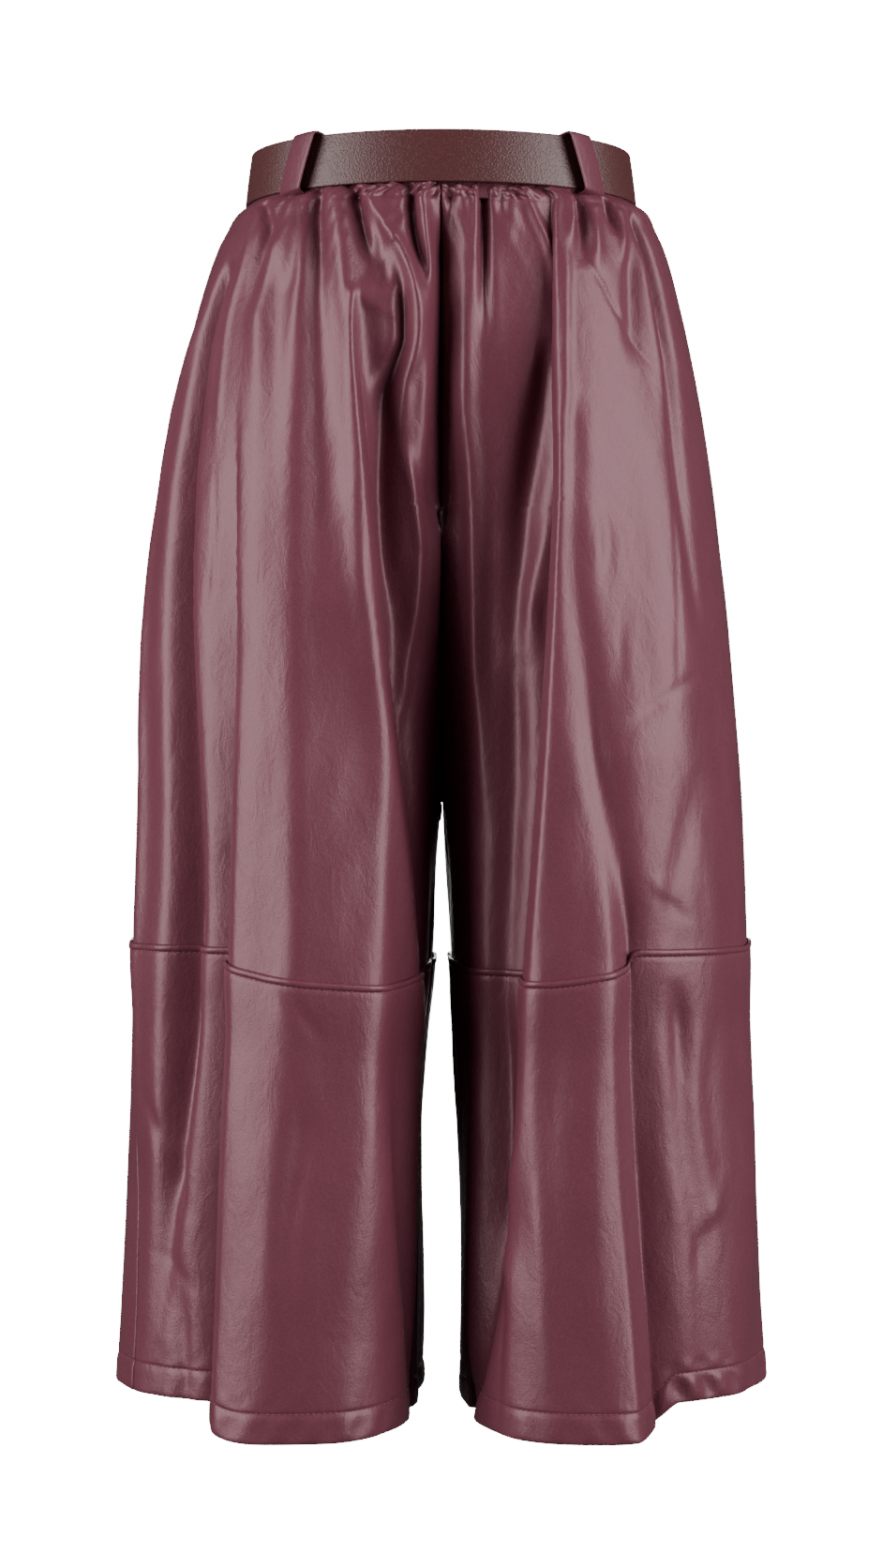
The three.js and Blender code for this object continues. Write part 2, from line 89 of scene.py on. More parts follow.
# Behind, the knee seam's height depends on how far it is from the centre plane.
KNEE_BEHIND = {
    "left": [(0, -536), (12, -539), (16, -544), (24, -548), (36, -549.5), (50, -549), (89, -546), (113, -542.5),
             (128, -538), (134, -535), (140, -526), (240, -525.5)],
    "right": [(0, -534), (7, -535), (20, -541.5), (54, -542.4), (60, -546), (75, -546), (93, -543.5),
              (112, -540), (120, -536.5), (126, -528.5), (131, -526.5), (206, -527.5), (214, -524.5),
              (240, -524)],
}

# How far the side seam and the inseam swing towards the back by the hem, in radians.
SIDE_SWING = {"left": 0.63, "right": -0.15}
INSEAM_SWING = 0.3

BELT = {"width": 36, "thick": 3, "half_x": 136, "half_y": 98, "taper": 0.125}
STRAP_LIFT = 4.5  # how far out the strap's free end lies over its start
# The buckle's frame: the middle and half its length in degrees round the waist, and half its height.
BUCKLE = {"middle": 77.4, "half_turn": 5.25, "half_high": 20.6}

# Deep folds, where the cloth past an edge is set back by a share of its depth and the edge laps over it. Before
# the edge the cloth rounds off over a width, by a share of its depth too. Each has its face, the way that it
# faces, how soft its edge is, and rows of z, the edge's x, the share past the edge, the lap, the rounding's
# width and its share.
STEPS = {
    "left": [
        ("back", "side", 5, [
            (-150, 134, 0, 0, 40, 0), (-250, 134, 0.02, 2, 44, 0.04), (-333, 133, 0.05, 3, 48, 0.1),
            (-433, 134.5, 0.08, 5, 48, 0.12), (-537, 135, 0.12, 7, 46, 0.14), (-671, 141, 0.18, 7, 42, 0.14),
            (-763, 144, 0.22, 7, 38, 0.13), (-860, 148, 0.24, 7, 34, 0.12)]),
        ("back", "inseam", 5, [
            (-92, 57, 0, 0, 10, 0), (-125, 57, 0.05, 1, 10, 0), (-160, 53, 0.1, 2, 10, 0),
            (-220, 47, 0.16, 2, 10, 0), (-296, 40, 0.25, 2, 10, 0), (-396, 30, 0.33, 3, 12, 0.02),
            (-445, 24, 0.33, 3, 12, 0.02), (-520, 17, 0.24, 2, 12, 0.02), (-620, 10, 0, 0, 12, 0)]),
        ("front", "side", 6, [
            (-170, 118, 0, 0, 30, 0), (-400, 131, 0.07, 3, 34, 0.06), (-600, 138, 0.14, 6, 34, 0.08),
            (-860, 150, 0.2, 7, 32, 0.1)]),
    ],
    "right": [
        ("back", "inseam", 4, [
            (-16, 72, 0.04, 0, 6, 0), (-40, 73, 0.08, 1, 6, 0.01), (-85, 75, 0.1, 2, 7, 0.02),
            (-135, 75, 0.14, 3, 8, 0.02), (-184, 76.5, 0.2, 4, 9, 0.02), (-220, 77, 0.23, 4, 9, 0.02),
            (-260, 75, 0.24, 4, 9, 0.02), (-300, 73, 0.26, 4, 9, 0.02), (-371, 70, 0.29, 5, 9, 0.03),
            (-445, 65, 0.3, 5, 9, 0.03), (-543, 58, 0.31, 5, 9, 0.02), (-598, 54, 0.28, 4, 9, 0.01),
            (-671, 50, 0.2, 3, 9, 0), (-763, 43, 0.1, 1, 9, 0), (-850, 38, 0, 0, 9, 0)]),
        ("back", "side", 13, [
            (-400, 108, 0, 0, 20, 0), (-480, 119, 0.03, 0, 22, 0.03), (-532, 121, 0.07, 1, 24, 0.06),
            (-600, 123, 0.09, 1, 27, 0.09), (-675, 127, 0.13, 1, 30, 0.1), (-763, 134, 0.18, 2, 32, 0.1),
            (-860, 141, 0.24, 3, 32, 0.1)]),
        ("front", "side", 6, [
            (-150, 112, 0, 0, 30, 0), (-380, 126, 0.08, 3, 34, 0.06), (-600, 134, 0.13, 5, 34, 0.08),
            (-860, 146, 0.2, 7, 32, 0.1)]),
    ],
}

# Soft folds, which stand out (or, with a negative height, go in). Rows are z, x, the height and the half width,
# or the half widths towards the side and towards the seat seam.
FOLDS = {}
FOLDS["left", "back"] = [
    [(-19, 83, -6, 4), (-35, 84, -8, 5), (-60, 83, -7, 6), (-90, 82, -4, 7), (-120, 82, 0, 8)],
    [(-40, 91, 0, 6), (-73, 91, 4, 6), (-98, 94, 4, 8), (-160, 96, 3.5, 11), (-300, 97, 3, 12),
     (-430, 98, 3, 13), (-560, 98, 3, 14), (-660, 95, 0, 14)],
    [(-90, 82, 0, 8), (-125, 81, -4, 9), (-160, 80, -4, 10), (-240, 78, -2, 11), (-300, 78, 0, 11)],
    [(-19, 71, 3, 7), (-45, 67, 5, 8), (-98, 62, 5, 7), (-122, 60, 5, 7), (-160, 59, 6, 8), (-200, 57, 6, 8),
     (-270, 55, 5, 7), (-333, 48, 4, 8), (-400, 41, 3, 8), (-520, 40, 2, 9), (-620, 44, 0, 9)],
    [(-18, 60, -5, 4), (-30, 57, -9, 4.5), (-52, 53, -9, 5), (-72, 49, -4, 5), (-88, 48, 0, 5)],
    [(-35, 43, 0, 6), (-58, 42, -4, 7), (-80, 38, -6, 8), (-96, 36, 0, 7)],
    [(-88, 52, 0, 6), (-96, 50, 1.5, 6), (-102, 44, 2, 6), (-106, 36, 1.5, 6), (-112, 30, 0, 6)],
    [(-19, 50, 4, 6, 5), (-30, 46, 5, 5.5, 5), (-45, 38, 6, 6, 5), (-64, 27, 7, 7, 5), (-89, 18, 7.5, 9, 5),
     (-110, 15, 7, 9, 5), (-133, 17, 6, 8, 5), (-155, 24, 4, 7, 6), (-190, 28, 0, 7, 7)],
    [(-60, 31, -2, 5), (-90, 25, -8, 5), (-122, 24, -9, 5), (-140, 29, -10, 6), (-165, 36, -12, 8),
     (-210, 37, -14, 8), (-260, 34, -12, 8), (-310, 28, -5, 9), (-350, 24, 0, 9)],
    [(-96, 44, 0, 8), (-115, 43, -3, 9), (-145, 41, -4, 10), (-180, 40, 0, 10)],
    [(-19, 20, -6, 3), (-40, 19, -10, 4), (-60, 16, -10, 4.5), (-80, 11, -6, 4.5), (-95, 8, 0, 4.5)],
    [(-19, 12, 4, 6, 4), (-50, 10, 5, 6, 4), (-78, 7, 5, 6, 4), (-110, 8, 4, 6, 5), (-160, 9, 3, 6, 6),
     (-220, 9, 0, 6, 6)],
    [(-190, 24, 0, 4), (-222, 19, 4, 4.5), (-262, 16, 4, 4.5), (-300, 20, 5, 5), (-346, 26, 4, 5),
     (-390, 30, 0, 5)],
    [(-88, 57, 0, 3), (-98, 57, 4, 3), (-125, 56, 4, 3.5), (-160, 52, 4, 3.5), (-196, 48, 4, 4),
     (-259, 44.5, 4, 4), (-330, 37, 3, 4.5), (-439, 25, 2, 5), (-533, 14, 0, 5)],
    [(-24, 121, -4, 5), (-45, 117, -6, 6), (-73, 121, -4, 7), (-105, 124, 0, 8)],
    [(-45, 110, 0, 7), (-60, 113, 4, 7), (-110, 121, 4, 9), (-200, 120, 2, 14), (-430, 118, 2, 16),
     (-520, 116, 0, 16)],
    [(-26, 100, 2, 6), (-60, 104, 3, 7), (-90, 106, 0, 8)],
    [(-60, 143, 0, 6), (-80, 151, -9, 7), (-120, 163, -16, 9), (-172, 171, -20, 11), (-222, 177, -24, 12),
     (-300, 179, -24, 13), (-370, 177, -23, 14), (-480, 173, -21, 14), (-580, 175, -19, 13),
     (-650, 180, -15, 12), (-720, 185, -7, 12), (-790, 188, 0, 12)],
    [(-90, 164, 0, 6), (-130, 175, 3, 7), (-172, 185, 4, 8), (-222, 193, 4, 8), (-300, 199, 5, 8),
     (-370, 202, 5, 8), (-480, 203, 5, 9), (-580, 205, 4, 9), (-700, 208, 0, 9)],
    [(-730, 176, 0, 10), (-790, 174, -4, 10), (-850, 172, -4, 10)],
    [(-30, 127, 0, 3), (-60, 132, 1.2, 3), (-110, 144, 1.2, 3), (-160, 148, 1, 3), (-200, 150, 0, 3)],
    [(-200, 150, 0, 1.6), (-240, 151, -0.9, 1.6), (-285, 152, -0.9, 1.6), (-309, 158, 0, 1.6)],
    [(-250, 54, 0, 20), (-420, 44, 4, 18), (-650, 48, 4, 20), (-780, 60, 0, 24)],
    [(-600, 95, 0, 9), (-650, 90, -2.5, 9), (-720, 100, -2, 8), (-790, 92, 0, 8)],
    [(-560, 30, 0, 14), (-680, 24, -6, 13), (-800, 20, -4, 11), (-858, 18, -2, 10)],
    [(-622, 200, 0, 8), (-650, 192, -2.2, 8), (-680, 181, -2.2, 9), (-712, 170, 0, 9)],
    [(-728, 194, 0, 9), (-742, 180, -1.0, 9), (-760, 164, 0, 9)],
    [(-545, 104, 0, 7), (-560, 96, -1.5, 6), (-590, 75, 0, 6)],
]
FOLDS["left", "front"] = [
    [(-20, 14, 4, 6), (-60, 15, 5, 7), (-140, 17, 0, 8)],
    [(-20, 31, -6, 5), (-60, 33, -7, 7), (-120, 35, 0, 9)],
    [(-20, 47, 4, 6), (-90, 50, 6, 7), (-240, 58, 3, 10), (-400, 60, 0, 12)],
    [(-20, 66, -6, 5), (-70, 70, -7, 7), (-190, 76, -4, 12), (-420, 80, 0, 14)],
    [(-20, 88, 4, 7), (-90, 96, 6, 8), (-260, 104, 4, 12), (-460, 106, 0, 14)],
    [(-20, 110, -5, 5), (-60, 118, -6, 7), (-160, 132, 0, 9)],
    [(-60, 142, 0, 7), (-150, 160, -6, 9), (-330, 168, -8, 12), (-560, 174, 0, 13)],
    [(-130, 78, 0, 24), (-250, 78, 6, 26), (-500, 74, 6, 28), (-760, 84, 0, 28)],
    [(-560, 70, 0, 9), (-620, 64, 3, 10), (-720, 70, 0, 10)],
]
FOLDS["right", "back"] = [
    [(-19, 5, -3, 3), (-30, 6, -4, 3), (-45, 6, -2, 3), (-60, 7, 0, 4)],
    [(-19, 15, 3, 5), (-40, 16, 3.5, 6), (-80, 17, 4, 6), (-110, 17, 5, 7), (-160, 17, 6, 7), (-210, 22, 7, 7),
     (-271, 25, 8, 7), (-333, 26, 7, 7), (-396, 29, 4, 8), (-450, 30, 0, 8)],
    [(-19, 23, 3, 3), (-40, 23.5, 4, 3.2), (-85, 23.5, 3, 3.5), (-125, 26, 0, 4)],
    [(-19, 28.5, -9, 3), (-45, 28.5, -9, 3.4), (-80, 28, -6, 4.5), (-125, 29, 0, 6)],
    [(-60, 36, 0, 6), (-85, 35, 1.6, 6), (-110, 35, 1.6, 6), (-140, 36, 0, 6)],
    [(-19, 40, -4, 3), (-30, 41, -3, 3.5), (-42, 42, 0, 4)],
    [(-22, 47, 2, 5), (-45, 46, 1.6, 6), (-66, 41, 0, 6)],
    [(-20, 55, 3, 4), (-40, 62, 4.5, 4), (-55, 68, 4.5, 4), (-75, 73, 3, 4), (-90, 75, 0, 4)],
    [(-120, 69, 0, 5), (-150, 67, -9, 7), (-200, 61, -13, 9), (-250, 54, -10, 9), (-330, 50, -5, 10),
     (-400, 50, 0, 9)],
    [(-235, 70, 0, 6), (-262, 66, 4, 6), (-290, 60, 4, 7), (-340, 56, 0, 8)],
    [(-285, 68, 0, 4), (-305, 67, -3.5, 4), (-335, 69, 0, 4)],
    [(-330, 46, 0, 10), (-400, 48, -8, 11), (-470, 44, -8, 11), (-540, 40, -6, 10), (-650, 32, -3, 10),
     (-720, 28, 0, 10)],
    [(-50, 83, 0, 4), (-80, 84, 2.5, 3.5), (-160, 84, 2.5, 4), (-250, 82, 1.5, 5), (-350, 80, 0, 6)],
    [(-24, 87, 4, 4), (-36, 88, 4, 4), (-60, 88, 0, 5)],
    [(-20, 91, -5, 4), (-35, 94, -7, 4), (-52, 95, -5, 5), (-75, 94, 0, 6)],
    [(-30, 103, 2, 5), (-50, 103, 4, 5), (-80, 104, 0, 7)],
    [(-24, 112, -4, 3.5), (-36, 115, -6, 3.5), (-50, 119, 0, 4)],
    [(-30, 121, 2, 4), (-50, 122.5, 3, 4), (-75, 123, 0, 5)],
    [(-50, 126, 0, 5), (-75, 127, -3, 6), (-110, 128, -4, 7), (-140, 132, 0, 8)],
    [(-30, 130, -2, 4), (-38, 133, -6, 4.5), (-60, 141, -8, 5.5), (-85, 147, -8, 6), (-110, 151, -8, 6.5),
     (-135, 155, -7, 7), (-184, 157, -5, 7), (-234, 161, -4, 7), (-284, 168, -3, 7), (-320, 174, 0, 8)],
    [(-50, 132, 0, 6), (-75, 136, 3, 6), (-110, 141, 3, 7), (-150, 147, 2, 7), (-200, 150, 0, 8)],
    [(-62, 86, 0, 2), (-70, 97, -1, 2), (-105, 118, -1.2, 2), (-128, 133, -1.2, 2), (-147, 148, 0, 2)],
    [(-160, 88, 0, 7), (-184, 87, -3, 7), (-271, 88, -3, 8), (-333, 94, -4, 8), (-396, 100, -5, 9),
     (-458, 110, -4, 9), (-500, 117, -3, 8), (-540, 121, 0, 8)],
    [(-235, 106, 0, 5), (-262, 110, -1.2, 5), (-295, 106, 0, 5)],
    [(-300, 122, 0, 4), (-330, 118, -0.8, 4), (-356, 118, 0, 4)],
    [(-340, 176, 0, 9), (-352, 160, -1.1, 8), (-366, 142, -1.3, 8), (-384, 122, 0, 9)],
    [(-200, 153, 0, 2), (-240, 154, -0.9, 2), (-330, 156, -0.9, 2), (-360, 155, 0, 2)],
    [(-405, 168, 0, 10), (-450, 162, -2.2, 11), (-500, 151, -1.4, 11), (-530, 144, 0, 10)],
    [(-476, 140, 0, 6), (-486, 144, 0.8, 6), (-498, 153, -0.9, 7), (-512, 166, 0, 7)],
    [(-130, 78, 0, 22), (-250, 77, 8, 24), (-440, 76, 6, 26), (-543, 78, 4, 26), (-620, 80, 0, 28)],
    [(-560, 184, 0, 11), (-620, 181, -3, 12), (-700, 186, 0, 12)],
    [(-545, 154, 0, 8), (-580, 159, -4.5, 9), (-630, 161, -3, 10), (-720, 170, -2, 11), (-800, 178, 0, 11)],
    [(-540, 34, 0, 16), (-620, 32, -16, 18), (-700, 29, -21, 19), (-790, 23, -14, 16), (-858, 16, -4, 12)],
    [(-672, 192, 0, 9), (-700, 184, 1.2, 9), (-722, 176, -1.4, 9), (-750, 170, 0, 9)],
    [(-520, 70, 0, 6), (-560, 68, 2, 7), (-640, 62, 2, 8), (-760, 66, 2, 9), (-830, 70, 0, 9)],
]
FOLDS["right", "front"] = [
    [(-20, 20, 4, 6), (-70, 22, 5, 7), (-150, 22, 0, 9)],
    [(-20, 38, -6, 5), (-50, 40, -7, 6), (-110, 44, 0, 9)],
    [(-20, 58, 4, 6), (-100, 62, 6, 8), (-260, 66, 3, 12), (-420, 66, 0, 12)],
    [(-20, 78, -6, 5), (-60, 82, -7, 7), (-170, 88, -4, 11), (-400, 92, 0, 14)],
    [(-20, 98, 4, 6), (-80, 106, 6, 8), (-240, 112, 4, 12), (-460, 110, 0, 14)],
    [(-20, 118, -5, 5), (-50, 126, -6, 6), (-140, 140, 0, 9)],
    [(-60, 144, 0, 7), (-150, 158, -6, 9), (-330, 166, -8, 12), (-560, 172, 0, 13)],
    [(-130, 76, 0, 24), (-250, 76, 6, 26), (-500, 74, 6, 28), (-760, 84, 0, 28)],
    [(-600, 80, 0, 9), (-680, 74, 3, 10), (-780, 78, 0, 10)],
]

# ---- Small helpers ----
def smoothstep(x, low, high):
    t = np.clip((x - low) / (high - low), 0, 1)
    return t * t * (3 - 2 * t)


def curve_through(at, places, values):
    """A smooth curve through values at rising places, with no kink at them."""
    places, values = np.asarray(places, float), np.asarray(values, float)
    gaps = np.diff(places)
    slopes = np.diff(values) / gaps
    lean = np.concatenate([slopes[:1], np.zeros(len(slopes) - 1), slopes[-1:]])
    for i in range(1, len(slopes)):
        if slopes[i - 1] * slopes[i] > 0:
            w1, w2 = 2 * gaps[i] + gaps[i - 1], gaps[i] + 2 * gaps[i - 1]
            lean[i] = (w1 + w2) / (w1 / slopes[i - 1] + w2 / slopes[i])
    at = np.clip(at, places[0], places[-1])
    k = np.clip(np.searchsorted(places, at, side="right") - 1, 0, len(slopes) - 1)
    run = gaps[k]
    t = (at - places[k]) / run
    return ((1 + 2 * t) * (1 - t) ** 2 * values[k] + t * (1 - t) ** 2 * run * lean[k]
            + t * t * (3 - 2 * t) * values[k + 1] + t * t * (t - 1) * run * lean[k + 1])


def down_table(rows, column, z):
    """One column of rows that run down in z, smoothly between them."""
    rows = np.asarray(rows, float)
    return curve_through(-np.asarray(z, float), -rows[:, 0], rows[:, column])


def level(name, z):
    return down_table(LEVELS, LEVEL_COLUMNS.index(name), z)


def signed_power(value, power):
    return np.sign(value) * np.abs(value) ** power


def running(steps):
    """The total of the steps up to each point along a row, from 0."""
    return np.concatenate([np.zeros(steps.shape[:-1] + (1,)), np.cumsum(steps, axis=-1)], axis=-1)


def ripple(a, b, wave_a, wave_b, seed, count=9):
    """A smooth uneven pattern of about -1 to 1 over two lengths, whose waves are about as long as given."""
    rng = np.random.default_rng(seed)
    total = 0
    for _ in range(count):
        turn = rng.uniform(0, 2 * np.pi)
        stretch = rng.uniform(0.7, 1.5)
        phase = rng.uniform(0, 2 * np.pi)
        waves = np.cos(turn) * a / wave_a + np.sin(turn) * b / wave_b
        total = total + np.sin(2 * np.pi * waves * stretch + phase)
    return total / math.sqrt(count)


# ---- The cloth's form: sections of each leg, from the seat seam or inseam by the back, side and front ----
FINE = 1500  # points round a section
Z_STEP = 2.0
Z_LINE = np.arange(-10, -858, -Z_STEP)


def sections(side):
    """Returns x, y, the length along each section and its angle, one row for each height in Z_LINE."""
    z = Z_LINE[:, None]
    middle, across = level("middle", z), level(side, z) - level("middle", z)
    square = level("square", z)
    on_plane = np.arccos(np.minimum(1, (middle / across) ** (square / 2)))
    start = on_plane * np.sin(np.pi / 2 * np.clip((z - CROTCH) / SEAT_TURN, 0, 1))
    swing = INSEAM_SWING * smoothstep(CROTCH - z, 0, CROTCH - HEM["back"])
    share = np.linspace(0, 1, FINE)
    angle = start + swing + share * (2 * np.pi - 2 * start)
    cos, sin = np.cos(angle), np.sin(angle)
    power = 2 / np.where(cos > 0, square, OUTER_SQUARE)
    x = np.maximum(middle - across * signed_power(cos, power), 0)
    y = -np.where(sin > 0, level("back", z), level("front", z)) * signed_power(sin, power)
    return add_folds(side, z, x, y, angle)


def steadied(lengths):
    """The lengths down a leg, without a jump where the folds make a section pass the same x twice."""
    reach, width = 30, 12  # in rows of Z_LINE
    weights = np.exp(-(np.arange(-reach, reach + 1) / width) ** 2)
    padded = np.pad(lengths[:, 0], reach, mode="edge")
    return np.convolve(padded, weights / weights.sum(), mode="valid")[:, None]


def outward(x, y):
    """The direction out of the cloth at each point of each section."""
    tx, ty = np.gradient(x, axis=1), np.gradient(y, axis=1)
    size = np.maximum(np.hypot(tx, ty), 1e-9)
    return ty / size, -tx / size


def add_folds(side, z, x, y, angle):
    """Pushes the cloth out and in at the soft folds and gathers, and then sets it back at the deep folds."""
    run = running(np.hypot(np.diff(x), np.diff(y)))
    turned = angle % (2 * np.pi)
    halves = {"back": turned <= np.pi, "front": turned > np.pi}

    def along_cloth(face, xs):
        """The length along each section at which a line x from the centre plane crosses one face."""
        out = np.empty(len(x))
        for k in range(len(x)):
            on = halves[face][k] & (angle[k] > 0.02 if face == "back" else angle[k] < 2 * np.pi + 0.4)
            px, pr = x[k][on], run[k][on]
            if face == "front":
                px, pr = px[::-1], pr[::-1]
            out[k] = np.interp(xs[k], np.maximum.accumulate(px), pr)
        return out[:, None]

    push = np.zeros_like(x)
    for face in ("back", "front"):
        for fold in FOLDS[side, face]:
            rows = np.asarray(fold, float)
            inside = (Z_LINE <= rows[0, 0]) & (Z_LINE >= rows[-1, 0])
            centre = along_cloth(face, down_table(rows, 1, Z_LINE))
            height = (down_table(rows, 2, Z_LINE) * inside)[:, None]
            half = down_table(rows, 3, Z_LINE)[:, None]
            if rows.shape[1] == 5:
                towards_side = (run > centre) if face == "back" else (run < centre)
                half = np.where(towards_side, half, down_table(rows, 4, Z_LINE)[:, None])
            push += height * np.exp(-(((run - centre) / half) ** 2)) * halves[face]
    # The seat seam lies in a valley, and so, more shallow, does the front one.
    for face, deep, wide in (("back", -12, 9 if side == "left" else 6), ("back", -8, 4), ("front", -6, 10)):
        depth = deep * smoothstep(-Z_LINE, -GATHERED, 70) * (1 - smoothstep(-Z_LINE, 215, 260))
        push += depth[:, None] * np.exp(-(np.abs(x) / wide) ** 1.3) * halves[face] * (x < 80)
    # Puckers from the gathers under the waist, and slacker unevenness lower down.
    at_side = np.array([np.interp(np.pi, angle[k], run[k]) for k in range(len(run))])[:, None]
    arc = run - at_side + (5000 if side == "right" else 0)  # so that the legs' ripples differ
    near_top = np.exp(-np.maximum(0, GATHERED - z) / 26) * smoothstep(-z, 20, 30)
    push += 0.6 * near_top * ripple(arc, z, 14, 160, SEED)
    tight = 1 - smoothstep(x, 50, 80)  # the cloth is gathered most in the middle of the back and of the front
    band = smoothstep(-z, 15, 18) * (1 - smoothstep(-z, 24, 29))
    frills = ripple(arc, z, 8, 300, SEED + 1, count=3)
    push += band * (0.4 + 2.2 * tight) * (1 - smoothstep(x, 105, 125)) * frills
    loose = smoothstep(-z, 90, 260)
    push += 1.3 * loose * ripple(arc, z, 80, 300, SEED + 2)
    push += 0.18 * loose * ripple(arc, z, 30, 90, SEED + 3)
    # The casing's lower stitching pinches the cloth.
    push -= (0.2 + 1.0 * tight) * np.exp(-((z - CASING_STITCH) / 1.6) ** 2)

    nx, ny = outward(x, y)
    keep = smoothstep(x, 0.2, 6)  # a seam on the centre plane stays on it
    x = x + keep * push * nx
    y = y + push * ny

    for face, towards, soft, rows in STEPS[side]:
        rows = np.asarray(rows, float)
        inside = (Z_LINE <= rows[0, 0]) & (Z_LINE >= rows[-1, 0])
        centre = at_side + steadied(along_cloth(face, down_table(rows, 1, Z_LINE)) - at_side)
        share, lap, width, rounded = ((down_table(rows, c, Z_LINE) * inside)[:, None] for c in (2, 3, 4, 5))
        width = np.maximum(width, 1)
        to_side, on_face = towards == "side", halves[face]
        past = (run - centre) * (1 if to_side == (face == "back") else -1)  # lengths past the edge
        back = smoothstep(past, -soft, max(1.0, 0.3 * soft)) * on_face
        y = y * (1 - share * back * (1 + 0.12 * np.exp(-np.maximum(past, 0) / 18)))
        y = y * (1 - rounded * np.clip((past + width) / width, 0, 1) ** 2 * on_face)
        # The edge leans over the cloth that is set back, and that cloth comes to meet it underneath.
        curl = smoothstep(past, -26, -1) * (1 - 2 * smoothstep(past, -1, 1))
        curl = curl * np.where(past > 1, 1 - smoothstep(past, 1, 26), 1)
        x = x + (1 if to_side else -1) * lap * curl * on_face * keep
    x = np.maximum(x, 0)
    return x, y, running(np.hypot(np.diff(x), np.diff(y))), angle


FORM = {side: sections(side) for side in ("left", "right")}

# Both legs meet at the same depth on the centre plane.
for end in (0, -1):
    shared = (FORM["left"][1][:, end] + FORM["right"][1][:, end]) / 2
    for side in ("left", "right"):
        _, y, run, _ = FORM[side]
        above = (Z_LINE > CROTCH)[:, None]
        near = np.exp(-(np.abs(run - run[:, [end]]) / 12) ** 2)
        y += above * near * (shared - y[:, end])[:, None]


def height_line(heights, angle):
    """The height of the knee seam or the hem at each angle round a leg."""
    behind = np.sin(angle)
    face = np.where(behind > 0, heights["back"], heights["front"])
    t_in, t_out = np.abs(behind), smoothstep(np.abs(behind), DROP, 1)
    inner = heights["inside"] + (face - heights["inside"]) * t_in
    outer = heights["side"] + (face - heights["side"]) * t_out
    return np.where(np.cos(angle) > 0, inner, outer)


EDGE_COLUMNS = [0, 0, 0, 0.5, 1.0, 1.7, 2.8]  # how far the columns next to a seam are from it
ALLOWANCE = [-7, -2.5, 0, 0, 0, 0, 0]  # how far out those columns are: the seam's allowance is turned inside
SEAM_DEPTH, SEAM_WIDTH = -2.4, 0.7  # a seam draws the cloth in, in a narrow groove
PANEL_GRID = {"back": (150, 2.6), "front": (110, 3.6)}  # a panel's columns, and how far apart its rows are


class Panel:
    """One panel's columns: the place and the angle of each column at each height in Z_LINE."""

    def __init__(self, side, face, columns):
        x, y, run, angle = FORM[side]
        seam = np.pi - SIDE_SWING[side] * smoothstep(-Z_LINE, 150, 980)
        grid = []
        for k in range(len(Z_LINE)):
            at_seam = np.interp(seam[k], angle[k], run[k])
            low, high = (0, at_seam) if face == "back" else (at_seam, run[k][-1])
            edge = np.array(EDGE_COLUMNS)
            # Between the seams, depth counts for half, so that the columns run straight down past the crotch.
            spread = running(np.hypot(np.diff(x[k]), 0.5 * np.diff(y[k])))
            ends = np.interp([low + 4.5, high - 4.5], run[k], spread)
            inside = np.interp(np.linspace(*ends, columns - 2 * len(edge)), spread, run[k])
            wanted = np.concatenate([low + edge, inside, (high - edge)[::-1]])
            grid.append([np.interp(wanted, run[k], v) for v in (x[k], y[k], angle[k])])
        self.x, self.y, self.angle = np.moveaxis(grid, 1, 0)
        middle, outside = level("middle", KNEE["back"]), level(side, KNEE["back"])
        angle = self.angle[np.argmin(np.abs(Z_LINE - KNEE["back"]))]
        power = 2 / np.where(np.cos(angle) > 0, level("square", KNEE["back"]), OUTER_SQUARE)
        plain_x = middle - (outside - middle) * signed_power(np.cos(angle), power)
        behind = np.interp(plain_x, *np.array(KNEE_BEHIND[side], float).T)
        self.knee = np.where(np.sin(angle) > 0, behind, height_line(KNEE, angle))
        self.nx, self.ny = outward(self.x, self.y)
        dip = np.zeros(columns)
        for seam_columns in (range(len(EDGE_COLUMNS)), range(-1, -1 - len(EDGE_COLUMNS), -1)):
            for column, away, turned in zip(seam_columns, EDGE_COLUMNS, ALLOWANCE):
                dip[column] = SEAM_DEPTH * math.exp(-(away / SEAM_WIDTH) ** 2) + turned
            for c in seam_columns[:3]:  # the turned columns take the direction of the cloth beside them
                self.nx[:, c], self.ny[:, c] = self.nx[:, seam_columns[3]], self.ny[:, seam_columns[3]]
        self.x = np.maximum(self.x + dip * self.nx * (self.x > 1), 0)
        self.y = self.y + dip * self.ny
        self.side, self.columns = side, columns

    def hem(self):
        """The hem's height at each column."""
        return height_line(HEM, self.angle[np.argmin(np.abs(Z_LINE - HEM["back"]))])

    def rows(self, z, offset):
        """Points at heights z (rows, columns), moved out by offset (rows, columns)."""
        at = (Z_LINE[0] - z) / Z_STEP
        k = np.clip(at.astype(int), 0, len(Z_LINE) - 2)
        t = at - k
        c = np.arange(self.columns)
        mix = lambda v: v[k, c] * (1 - t) + v[k + 1, c] * t
        x = np.maximum(mix(self.x) + mix(self.nx) * offset, 0)
        y = mix(self.y) + mix(self.ny) * offset
        points = np.stack([x, y, z], axis=-1) * MM
        if self.side == "left":
            points[..., 0] *= -1
            points = points[:, ::-1]
        return points


# ---- Materials ----
def linear(hex_colour):
    """An sRGB hex value as linear red, green, blue and alpha."""
    parts = [int(hex_colour[i:i + 2], 16) / 255 for i in (1, 3, 5)]
    return [c / 12.92 if c <= 0.04045 else ((c + 0.055) / 1.055) ** 2.4 for c in parts] + [1.0]


def new_material(name):
    material = bpy.data.materials.new(name)
    material.use_nodes = True
    tree = material.node_tree
    tree.nodes.clear()
    return material, tree


